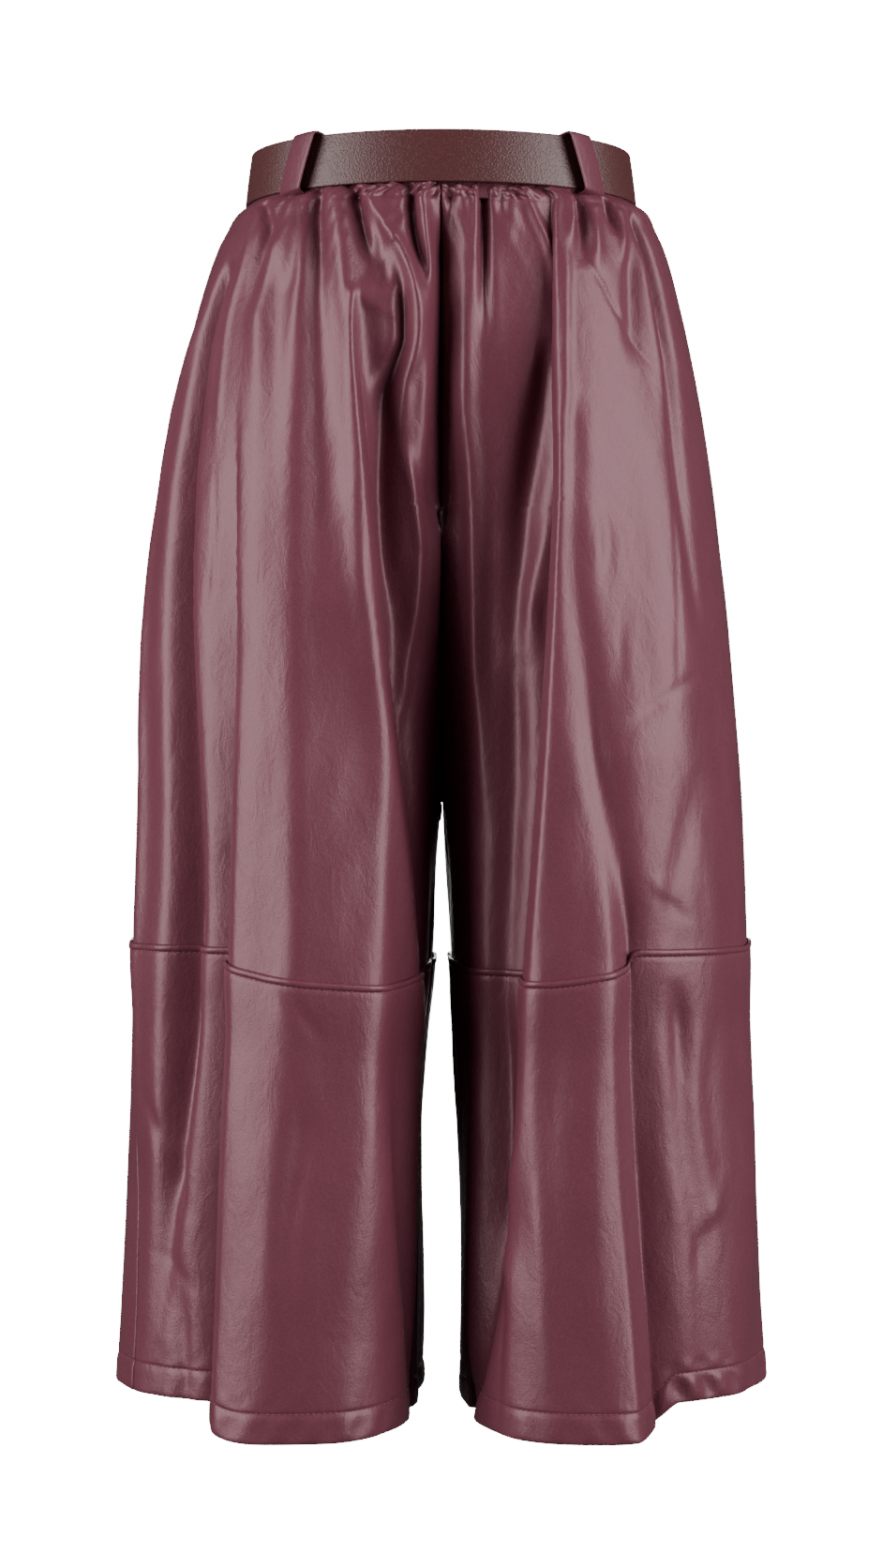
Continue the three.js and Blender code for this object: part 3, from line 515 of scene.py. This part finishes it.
def node(tree, kind, settings=None, **links):
    """Adds a node with its settings. Inputs are linked to a socket or a node's first one, or set to a value."""
    made = tree.nodes.new("ShaderNode" + kind)
    for key, value in (settings or {}).items():
        setattr(made, key, value)
    for key, value in links.items():
        by_number = key[0] == "i" and key[1:].isdigit()
        socket = made.inputs[int(key[1:]) if by_number else key.replace("_", " ")]
        value = value.outputs[0] if isinstance(value, bpy.types.Node) else value
        if isinstance(value, bpy.types.NodeSocket):
            tree.links.new(value, socket)
        else:
            socket.default_value = value
    return made


def faux_leather():
    """Polyurethane-coated cloth, embossed with a fine grain: a soft broad gloss over an even plum colour."""
    material, tree = new_material("polyurethane faux leather")
    place = node(tree, "TexCoord").outputs["Object"]
    # The real grain is under 1 mm, too fine to show, and is drawn at 1.1 to 1.3 mm.
    cells = node(tree, "TexVoronoi", {"feature": "SMOOTH_F1"}, Vector=place, Scale=1 / (1.3 * MM),
                 Smoothness=0.6)
    fine = node(tree, "TexNoise", Vector=place, Scale=1 / (1.1 * MM), Detail=3.0, Roughness=0.6)
    broad = node(tree, "TexNoise", Vector=place, Scale=1 / (60 * MM), Detail=3.0, Roughness=0.55)
    grain = node(tree, "Math", {"operation": "MULTIPLY_ADD"}, i0=cells.outputs["Distance"], i1=0.6,
                 i2=fine.outputs["Fac"])
    # Slight wrinkles, about 11 mm wide and longer down the leg.
    along = node(tree, "Mapping", Vector=place, Scale=(1.0, 1.0, 0.5))
    soft = node(tree, "TexNoise", Vector=along, Scale=1 / (11 * MM), Detail=4.0, Roughness=0.6, Distortion=0.6)
    wrinkles = node(tree, "Bump", Strength=1.0, Distance=0.55 * MM, Height=soft.outputs["Fac"])
    bump = node(tree, "Bump", Strength=0.8, Distance=0.09 * MM, Height=grain, Normal=wrinkles)
    # The grain's hollows are painted a little darker than its tops, as painted shade, and a broad random tone
    # is added to it.
    grain_painted_shade_and_tone = node(tree, "Math", {"operation": "MULTIPLY_ADD"}, i0=grain, i1=1.4, i2=broad.outputs["Fac"])
    depth = node(tree, "MapRange", Value=grain_painted_shade_and_tone, From_Min=1.05, From_Max=2.05)
    colour = node(tree, "Mix", {"data_type": "RGBA"}, Factor=depth, i6=linear("#5A2D38"), i7=linear("#663542"))
    shine = node(tree, "MapRange", Value=broad.outputs["Fac"], To_Min=0.36, To_Max=0.43)
    shader = node(tree, "BsdfPrincipled", Base_Color=colour.outputs[2], Roughness=shine, IOR=1.5,
                  Specular_Tint=linear("#FFD9DF"), Normal=bump)
    node(tree, "OutputMaterial", Surface=shader)
    return material


def knit_backing():
    """The knitted polyester backing of the faux leather: matt and dull, with uneven ribs."""
    material, tree = new_material("knitted polyester backing")
    place = node(tree, "TexCoord").outputs["Object"]
    # Real ribs are under 1 mm, too fine to show, and are drawn 3.2 mm apart. A wave at scale 1 is 2 pi / 20.
    ribs = node(tree, "TexWave", {"bands_direction": "X"}, Vector=place,
                Scale=2 * math.pi / 20 / (3.157 * MM), Distortion=1.5)
    bump = node(tree, "Bump", Strength=0.4, Distance=0.15 * MM, Height=ribs.outputs["Fac"])
    shader = node(tree, "BsdfPrincipled", Base_Color=linear("#4B3034"), Roughness=0.9, Normal=bump)
    node(tree, "OutputMaterial", Surface=shader)
    return material


def belt_leather():
    """Split leather with a pebbled polyurethane finish: satin, with small pebbles that catch the light."""
    material, tree = new_material("pebbled belt leather")
    place = node(tree, "TexCoord").outputs["Object"]
    # The real pebbles are about 1 mm, and are drawn at 1.6 mm so that they show. Their hollows are painted
    # darker, as painted shade.
    cells = node(tree, "TexVoronoi", {"feature": "F1"}, Vector=place, Scale=1 / (1.6 * MM))
    dome = node(tree, "MapRange", {"interpolation_type": "SMOOTHSTEP"}, Value=cells.outputs["Distance"],
                From_Max=0.65, To_Min=1, To_Max=0)
    bump = node(tree, "Bump", Strength=0.8, Distance=0.17 * MM, Height=dome)
    colour = node(tree, "Mix", {"data_type": "RGBA"}, Factor=dome, i6=linear("#482425"), i7=linear("#522B2C"))
    shader = node(tree, "BsdfPrincipled", Base_Color=colour.outputs[2], Roughness=0.4, IOR=1.45,
                  Normal=bump)
    node(tree, "OutputMaterial", Surface=shader)
    return material


def sewing_thread():
    """Spun polyester sewing thread, a shade lighter than the cloth, with a dull sheen."""
    material, tree = new_material("polyester sewing thread")
    shader = node(tree, "BsdfPrincipled", Base_Color=linear("#7E4653"), Roughness=0.6, IOR=1.5)
    node(tree, "OutputMaterial", Surface=shader)
    return material


def antique_brass():
    """Brushed and darkened brass: a dull brown gold, with a shine that varies a little."""
    material, tree = new_material("antique brass")
    place = node(tree, "TexCoord").outputs["Object"]
    brushed = node(tree, "TexNoise", Vector=place, Scale=1 / (2 * MM), Detail=4.0)
    shine = node(tree, "MapRange", Value=brushed.outputs["Fac"], To_Min=0.25, To_Max=0.38)
    shader = node(tree, "BsdfPrincipled", Base_Color=linear("#8C7455"), Roughness=shine, Metallic=1.0)
    node(tree, "OutputMaterial", Surface=shader)
    return material


LEATHER = faux_leather()
THREAD = sewing_thread()
METAL = antique_brass()
BACKING = knit_backing()
BELT_LEATHER = belt_leather()


# ---- Pieces ----
def grid_on(points):
    """A bmesh grid laid on points (rows, columns, 3)."""
    rows, columns = points.shape[:2]
    bm = bmesh.new()
    bmesh.ops.create_grid(bm, x_segments=columns - 1, y_segments=rows - 1, size=0.5)
    for vert in bm.verts:
        i = round((vert.co.x + 0.5) * (columns - 1))
        j = round((0.5 - vert.co.y) * (rows - 1))
        vert.co = points[j, i]
    return bm


def piece_from(bm, name, *materials):
    mesh = bpy.data.meshes.new(name)
    bm.to_mesh(mesh)
    bm.free()
    for material in materials:
        mesh.materials.append(material)
    mesh.polygons.foreach_set("use_smooth", [True] * len(mesh.polygons))
    piece = bpy.data.objects.new(name, mesh)
    bpy.context.collection.objects.link(piece)
    return piece


def cloth_piece(name, points):
    """Cloth laid on points (rows, columns, 3), with its thickness on the inside."""
    piece = piece_from(grid_on(points), name, LEATHER, BACKING)
    wall = piece.modifiers.new("cloth", "SOLIDIFY")
    wall.thickness = CLOTH * MM
    wall.offset = -1
    wall.material_offset = 1
    wall.material_offset_rim = 0
    return piece


# An upper panel's rows where it is gathered, which are closer than the rest.
TOP_ROWS = [-13, -15, -17, -18.5, -20, -21.5, -23, -25, -26.5, -27.5, -28.5, -29.5, -31, -33]
UNDER_LIP = 10  # how far an upper panel goes on under the turned edge at the knee


def upper_panel(side, face):
    columns, spacing = PANEL_GRID[face]
    panel = Panel(side, face, columns)
    top, bottom = TOP_ROWS[-1], panel.knee - UNDER_LIP
    count = int((top - KNEE["back"]) / spacing)
    z = np.array([np.full(columns, t) for t in TOP_ROWS]
                 + [top + (bottom - top) * (j + 1) / count for j in range(count)])
    return cloth_piece(f"upper_{face}_{side}_cloth", panel.rows(z, np.zeros_like(z)))


# The lower panel's turned top edge, from under its lip to the plain cloth below: depth and distance out.
LIP_ROWS = [(-9, 0.2), (-5, 0.2), (-1.8, 0.2), (-0.5, 0.5), (0, 1.4), (-0.4, 2.3), (-1.4, KNEE_LIP),
            (-2.8, KNEE_LIP), (-4.0, 2.5), (-4.6, 1.9), (-STITCH_BELOW_LIP, 1.6), (-5.5, 1.9), (-6.5, 2.3),
            (-9, 2.2)]
LIP_FADES = 55  # how far under the edge the cloth below lies flat again
# Its hem, from the plain cloth above the stitching, round the fold and up inside: height and distance out.
HEM_ROWS = [(22.5, 0), (21.2, -0.1), (20.5, -0.4), (20, -0.5), (19.5, -0.4), (18.2, 0.1), (15.5, 0.4),
            (12, 0.4), (8, 0.4), (4, 0.5), (2, 0.4), (0.8, 0.1), (0.2, -0.6), (0, -1.3), (0.3, -2.2),
            (1.2, -2.8), (4, -2.8), (10, -2.8), (16, -2.8), (21, -2.8)]


def lower_panel(side, face):
    columns, spacing = PANEL_GRID[face]
    panel = Panel(side, face, columns)
    top, bottom = panel.knee, panel.hem()
    z, out = [], []
    for depth, offset in LIP_ROWS:
        z.append(top + depth)
        out.append(np.full(columns, offset))
    start, end = z[-1], bottom + HEM_ROWS[0][0]
    count = int((KNEE["back"] - HEM["back"]) / spacing)
    for j in range(1, count):
        z.append(start + (end - start) * j / count)
        out.append(offset * (1 - smoothstep(top - z[-1], -depth, LIP_FADES)))
    for height, offset in HEM_ROWS:
        z.append(bottom + height)
        out.append(np.full(columns, offset))
    z, out = np.array(z), np.array(out)
    # The hem's stitches draw the turning up into small puckers, most of all near the seams.
    x, height = panel.x[-1], z - bottom
    along = running(np.hypot(np.diff(x), np.diff(panel.y[-1]))) + (2800 if side == "left" else 3500)
    near_seam = 0.5 + 0.5 * smoothstep(x, 130, 160) + 0.4 * (1 - smoothstep(x, 25, 60))
    turned = smoothstep(HEM_TURN - height, 0, 6) * smoothstep(height, 0, 6)
    turned = turned + 0.4 * np.exp(-((height - HEM_TURN - 5) / 4) ** 2)
    outer_layer = out > -1.2
    out = out + turned * near_seam * outer_layer * ripple(along, height, 17, 60, SEED + 4, count=4)
    return cloth_piece(f"lower_{face}_{side}_cloth", panel.rows(z, out))


def waist_point(degrees, z, out):
    """Points of the belt's outer face, moved out square to it, in metres."""
    degrees, z, out = np.broadcast_arrays(*(np.asarray(v, float) for v in (degrees, z, out)))
    narrower = (z + BELT["width"] / 2) * BELT["taper"]
    a, b = BELT["half_x"] - narrower, BELT["half_y"] - narrower
    turn = np.radians(degrees)
    nx, ny = np.cos(turn) / a, np.sin(turn) / b
    size = np.hypot(nx, ny)
    lean = math.hypot(1, BELT["taper"])
    x = a * np.cos(turn) + nx / size / lean * out
    y = b * np.sin(turn) + ny / size / lean * out
    return np.stack([x, y, z + BELT["taper"] / lean * out], axis=-1) * MM


def swept(name, rings, material, closed=False):
    """A solid through rings of points (stations, points, 3), with its ends filled or joined to each other."""
    rings = np.concatenate([rings, rings[:, :1]], axis=1)
    if closed:
        rings = np.concatenate([rings, rings[:1]])
    bm = grid_on(rings)
    bmesh.ops.remove_doubles(bm, verts=bm.verts, dist=1e-6)
    if not closed:
        bmesh.ops.holes_fill(bm, edges=bm.edges, sides=rings.shape[1])
    bmesh.ops.recalc_face_normals(bm, faces=bm.faces)
    return piece_from(bm, name, material)


def rounded_ring(width, thick, corner, crown=0.0, across=24):
    """A ring of (across, out) round a strip of this width and thickness, with round edges and a domed face."""
    side = np.linspace(-1, 1, across) * (width / 2 - corner)
    turn = np.radians([22.5, 45, 67.5])
    bulge = crown * (1 - (2 * side / width) ** 2)
    x, y = width / 2 - corner, thick / 2 - corner
    right = [(x + corner * math.cos(t), y + corner * math.sin(t)) for t in turn[::-1]]
    right += [(x + corner * math.cos(t), -y - corner * math.sin(t)) for t in turn]
    face = [(a, thick / 2 + c) for a, c in zip(side, bulge)]
    under = [(a, -thick / 2) for a in side[::-1]]
    left = [(-a, -b) for a, b in right]
    return np.array(face + right + under + left)


def belt_strap():
    """One strap from the buckle right round, over its own start, to a rounded tip."""
    start, overlap, tip = 84, 34, 16  # the start and the overlap are in degrees
    tip_turn = math.degrees(tip / BELT["half_x"])
    end = start + 360 + overlap
    to_tip = np.linspace(start, end - tip_turn, 380)
    at = np.concatenate([to_tip, end - tip_turn * np.cos(np.radians(np.arange(5, 91, 5)))])
    into_tip = np.clip(1 - (end - at) / tip_turn, 0, 1)
    share = np.maximum(0.3 + 0.7 * np.sqrt(1 - into_tip**2), 0.3)
    out = STRAP_LIFT * smoothstep(at, 360 + 54, 360 + 78) - BELT["thick"] / 2
    ring = rounded_ring(BELT["width"], BELT["thick"], 0.9, crown=0.25)
    rings = waist_point(at[:, None], ring[:, 0] * share[:, None], ring[:, 1] + out[:, None])
    return swept("belt_strap_leather", rings, BELT_LEATHER)


def belt_keeper():
    """A band of belt leather round both layers of the strap."""
    wide, thick, place = 12, 1.3, 99  # its place is in degrees round the waist
    high, deep = BELT["width"] / 2 + 1.1, STRAP_LIFT + BELT["thick"] + 2.1
    turn = np.linspace(0, 2 * np.pi, 72, endpoint=False)[:, None]
    ring = rounded_ring(wide, thick, 0.5, across=8)
    angle = place + np.degrees(ring[:, 0] / BELT["half_x"])
    z = high * signed_power(np.sin(turn), 0.22) + np.sin(turn) * ring[:, 1]
    out = deep / 2 * signed_power(np.cos(turn), 0.22) + np.cos(turn) * ring[:, 1]
    rings = waist_point(angle, z, (STRAP_LIFT - BELT["thick"]) / 2 + out)
    return swept("belt_keeper_leather", rings, BELT_LEATHER, closed=True)


LOOP_PATH = [  # out from the belt's face, and height: up from inside the casing, over the belt and down again
    (-4.6, -14), (-4.5, -18), (-3.2, -20.8), (-0.6, -21.6), (1.4, -20.2), (2.2, -16), (2.5, -8), (2.6, 0),
    (2.5, 8), (2.3, 14), (1.9, 17.2), (0.4, 19.0), (-2, 19.4), (-6, 19.4), (-8.6, 19.0), (-10, 17.2),
    (-10.2, 12), (-10.2, 3)]
# Where each loop is, in degrees round the waist, its lean in degrees, and how steeply it stands off the belt.
LOOPS = {"back_left": (225, -13, 0.24), "back_right": (316, 13, -0.24),
         "front_right": (47, 2, 0), "front_left": (132, -3, 0)}


def belt_loop(name, degrees, lean, twist):
    """A folded strip of the trousers' cloth, sewn under the belt, led over it and down behind it."""
    path = np.array(LOOP_PATH, float)
    length = running(np.hypot(*np.diff(path, axis=0).T))
    at = np.linspace(0, length[-1], 90)
    out, z = (curve_through(at, length, path[:, c]) for c in (0, 1))
    d_out, d_z = np.gradient(out)[:, None], np.gradient(z)[:, None]
    size = np.hypot(d_out, d_z)
    wide, thick = 22, 1.7
    across, lift = rounded_ring(wide, thick, 0.8, crown=0.35, across=16).T[:, None]
    shift = across - np.tan(math.radians(lean)) * z[:, None]
    angle = degrees + np.degrees(shift / (BELT["half_x"] - 12))
    out = out[:, None] + (abs(twist) * wide / 2 + twist * across) * smoothstep(out, -1, 2)[:, None]
    points = waist_point(angle, z[:, None] - lift * d_out / size, out + lift * d_z / size)
    return swept(f"belt_loop_{name}_cloth", points, LEATHER)


def waist_casing():
    """The elastic's casing: two layers of cloth, gathered, closed by a fold at the top."""
    turn = np.linspace(0, 360, 720, endpoint=False)[:, None]
    arc = np.radians(turn) * 115  # the waist's mean radius
    top, bottom, thick, clear = 16, -27, 2.6, 2.5  # clear is the room between it and the belt
    around = np.radians(np.arange(0, 360, 7.5))
    half = (top - bottom) / 2
    z = (top + bottom) / 2 + half * signed_power(np.sin(around), 0.3)
    out = -BELT["thick"] - clear - thick / 2 + thick / 2 * signed_power(np.cos(around), 0.3)
    gathers = 1 + ripple(arc, z, 7, 200, SEED + 5, count=5)
    out = out + np.where(np.cos(around) < 0, -0.9, -0.35) * gathers
    z = z + 0.5 * ripple(arc, 0, 9, 50, SEED + 6, count=4) * (np.sin(around) > 0.5)
    return swept("waist_casing_cloth", waist_point(turn, z, out), LEATHER, closed=True)


def metal_bar(name, path, width, thick, closed=False):
    """Metal bar with round edges along a path of (degrees, z, out), of a width along the belt's face."""
    turn = np.linspace(0, 2 * np.pi, 14, endpoint=False)
    across, lift = width / 2 * signed_power(np.cos(turn), 0.7), thick / 2 * signed_power(np.sin(turn), 0.7)
    points = waist_point(*path.T)
    ahead = np.roll(points, -1, axis=0) - np.roll(points, 1, axis=0)
    if not closed:
        ahead[0], ahead[-1] = points[1] - points[0], points[-1] - points[-2]
    ahead /= np.linalg.norm(ahead, axis=1)[:, None]
    up = waist_point(path[:, 0], path[:, 1], path[:, 2] + 1) - points
    up -= ahead * np.sum(up * ahead, axis=1)[:, None]
    up /= np.linalg.norm(up, axis=1)[:, None]
    aside = np.cross(ahead, up)
    rings = points[:, None] + (aside[:, None] * across[:, None] + up[:, None] * lift[:, None]) * MM
    return swept(name, rings, METAL, closed=closed)


def buckle_frame():
    """A plain frame with round corners: its heel bar is behind the strap and its far bar is in front."""
    turn = np.linspace(0, 2 * np.pi, 120, endpoint=False)
    along = signed_power(np.cos(turn), 0.35)
    z = BUCKLE["half_high"] * signed_power(np.sin(turn), 0.35)
    path = np.stack([BUCKLE["middle"] + BUCKLE["half_turn"] * along, z, 2.8 - 3.8 * along], axis=1)
    return metal_bar("buckle_frame_metal", path, 3.2, 3.0, closed=True)


def buckle_prong():
    """A prong from the heel bar to the far bar, which it rests on, with a slight sag between them."""
    at = np.linspace(0, 1, 30)
    path = np.stack([84.6 - 13.2 * at, 0 * at, 6.4 + 3.8 * at - 1.2 * (1 - (2 * at - 1) ** 2)], axis=1)
    return metal_bar("buckle_prong_metal", path, 3.4, 2.2)


STITCH_PITCH, STITCH_LONG, STITCH_WIDE = 3.7, 2.7, 0.6
KNEE_STITCH_OUT, HEM_STITCH_OUT = 1.75, -0.35  # how far out the middle of a stitch is


def topstitches(side, face):
    """The stitches under the knee seam's turned edge and above the hem, sunk a little into the cloth."""
    panel = Panel(side, face, PANEL_GRID["back"][0])
    scale = Matrix.Diagonal((STITCH_LONG / 2, STITCH_WIDE / 2, STITCH_WIDE / 2, 1))
    places = []
    for z, depth in ((panel.knee - STITCH_BELOW_LIP, KNEE_STITCH_OUT),
                     (panel.hem() + HEM_TURN, HEM_STITCH_OUT)):
        line, above = (panel.rows(z[None, :], np.full((1, len(z)), d))[0][3:-3] for d in (depth, depth + 1))
        length = running(np.linalg.norm(np.diff(line, axis=0), axis=1))

        def on_line(values, at):
            return Vector([np.interp(at, length, values[:, c]) for c in range(3)])

        for at in np.arange(STITCH_PITCH * MM, length[-1] - 2 * MM, STITCH_PITCH * MM):
            start, end = on_line(line, at), on_line(line, at + STITCH_LONG * MM)
            up, ahead = on_line(above - line, at).normalized(), (end - start).normalized()
            turned = Matrix((ahead, up.cross(ahead).normalized(), up)).transposed().to_4x4()
            places.append(Matrix.Translation((start + end) / 2) @ turned @ scale)
    row = bmesh.new()
    at_once = 16  # a few at a time, which is much quicker
    for k in range(0, len(places), at_once):
        few = bmesh.new()
        for place in places[k:k + at_once]:
            bmesh.ops.create_uvsphere(few, u_segments=6, v_segments=4, radius=MM, matrix=place)
        mesh = bpy.data.meshes.new("few_stitches")
        few.to_mesh(mesh)
        few.free()
        row.from_mesh(mesh)
        bpy.data.meshes.remove(mesh)
    return piece_from(row, f"topstitches_{face}_{side}", THREAD)


def finish_piece(piece, slot, *nodes):
    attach(piece, "root")
    if nodes:
        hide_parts(*nodes)


casing = waist_casing()
finish_piece(casing, "faux_leather", "waist_casing")
for side in ("left", "right"):
    for face in ("back", "front"):
        upper, lower, stitches = upper_panel(side, face), lower_panel(side, face), topstitches(side, face)
        finish_piece(upper, "faux_leather", f"upper_{face}_{side}")
        finish_piece(lower, "faux_leather", f"lower_{face}_{side}")
        finish_piece(stitches, "faux_leather")
for name, (degrees, lean, twist) in LOOPS.items():
    finish_piece(belt_loop(name, degrees, lean, twist), "faux_leather", f"belt_loop_{name}")
finish_piece(belt_strap(), "belt_leather", "belt_strap")
finish_piece(belt_keeper(), "belt_leather", "belt_keeper")
finish_piece(buckle_frame(), "buckle_metal", "buckle_frame")
finish_piece(buckle_prong(), "buckle_metal", "buckle_prong")


# ---- Stage, lights and camera ----
HEART = (0, 0, -0.42)  # the middle of the garment, which the lights are aimed at
SEEN_WHITE = 16.0  # bright enough for the background to show as plain white


def area_light(name, place, width, height, power):
    light = bpy.data.lights.new(name, "AREA")
    light.shape = "RECTANGLE"
    light.size, light.size_y, light.energy = width, height, power
    lamp = bpy.data.objects.new(name, light)
    lamp.location = place
    lamp.visible_camera = False
    lamp.rotation_euler = (Vector(HEART) - Vector(place)).to_track_quat("-Z", "Y").to_euler()
    bpy.context.collection.objects.link(lamp)


def build_stage():
    """A plain white floor and world: they look white, and light the cloth only faintly."""
    bm = bmesh.new()
    bmesh.ops.create_grid(bm, x_segments=1, y_segments=1, size=12)
    bmesh.ops.translate(bm, verts=bm.verts, vec=(0, 0, -1.0))
    material, tree = new_material("white paper")
    paper = node(tree, "BsdfPrincipled", Base_Color=linear("#FAFAFA"), Roughness=0.9,
                 Emission_Color=(1, 1, 1, 1), Emission_Strength=SEEN_WHITE)
    node(tree, "OutputMaterial", Surface=paper)
    floor = piece_from(bm, "floor", material)
    floor.visible_glossy = False
    floor.visible_diffuse = False

    world = bpy.data.worlds.new("studio")
    bpy.context.scene.world = world
    world.use_nodes = True
    tree = world.node_tree
    tree.nodes.clear()
    rays = node(tree, "LightPath")
    fill = node(tree, "Background", Color=(1, 1, 1, 1), Strength=0.06)
    seen = node(tree, "Background", Color=(1, 1, 1, 1), Strength=SEEN_WHITE)
    mixed = node(tree, "MixShader", Fac=rays.outputs["Is Camera Ray"], i1=fill, i2=seen)
    node(tree, "OutputWorld", Surface=mixed)


build_stage()
for name, x in (("key_left", -2.4), ("key_right", 2.4)):
    area_light(name, (x, -1.35, 0.3), 1.9, 3.1, 145)
area_light("front", (0, 2.9, 0.4), 0.7, 2.6, 95)

# The camera is level and straight behind, and its lens frames the whole garment with a white margin.
camera_data = bpy.data.cameras.new("camera")
camera_data.sensor_fit, camera_data.sensor_height, camera_data.lens = "VERTICAL", 36, 69.3
camera = bpy.data.objects.new("camera", camera_data)
camera.location = (0, -2.1, -0.418)
camera.rotation_euler = (math.pi / 2, 0, 0)
bpy.context.collection.objects.link(camera)
bpy.context.scene.camera = camera
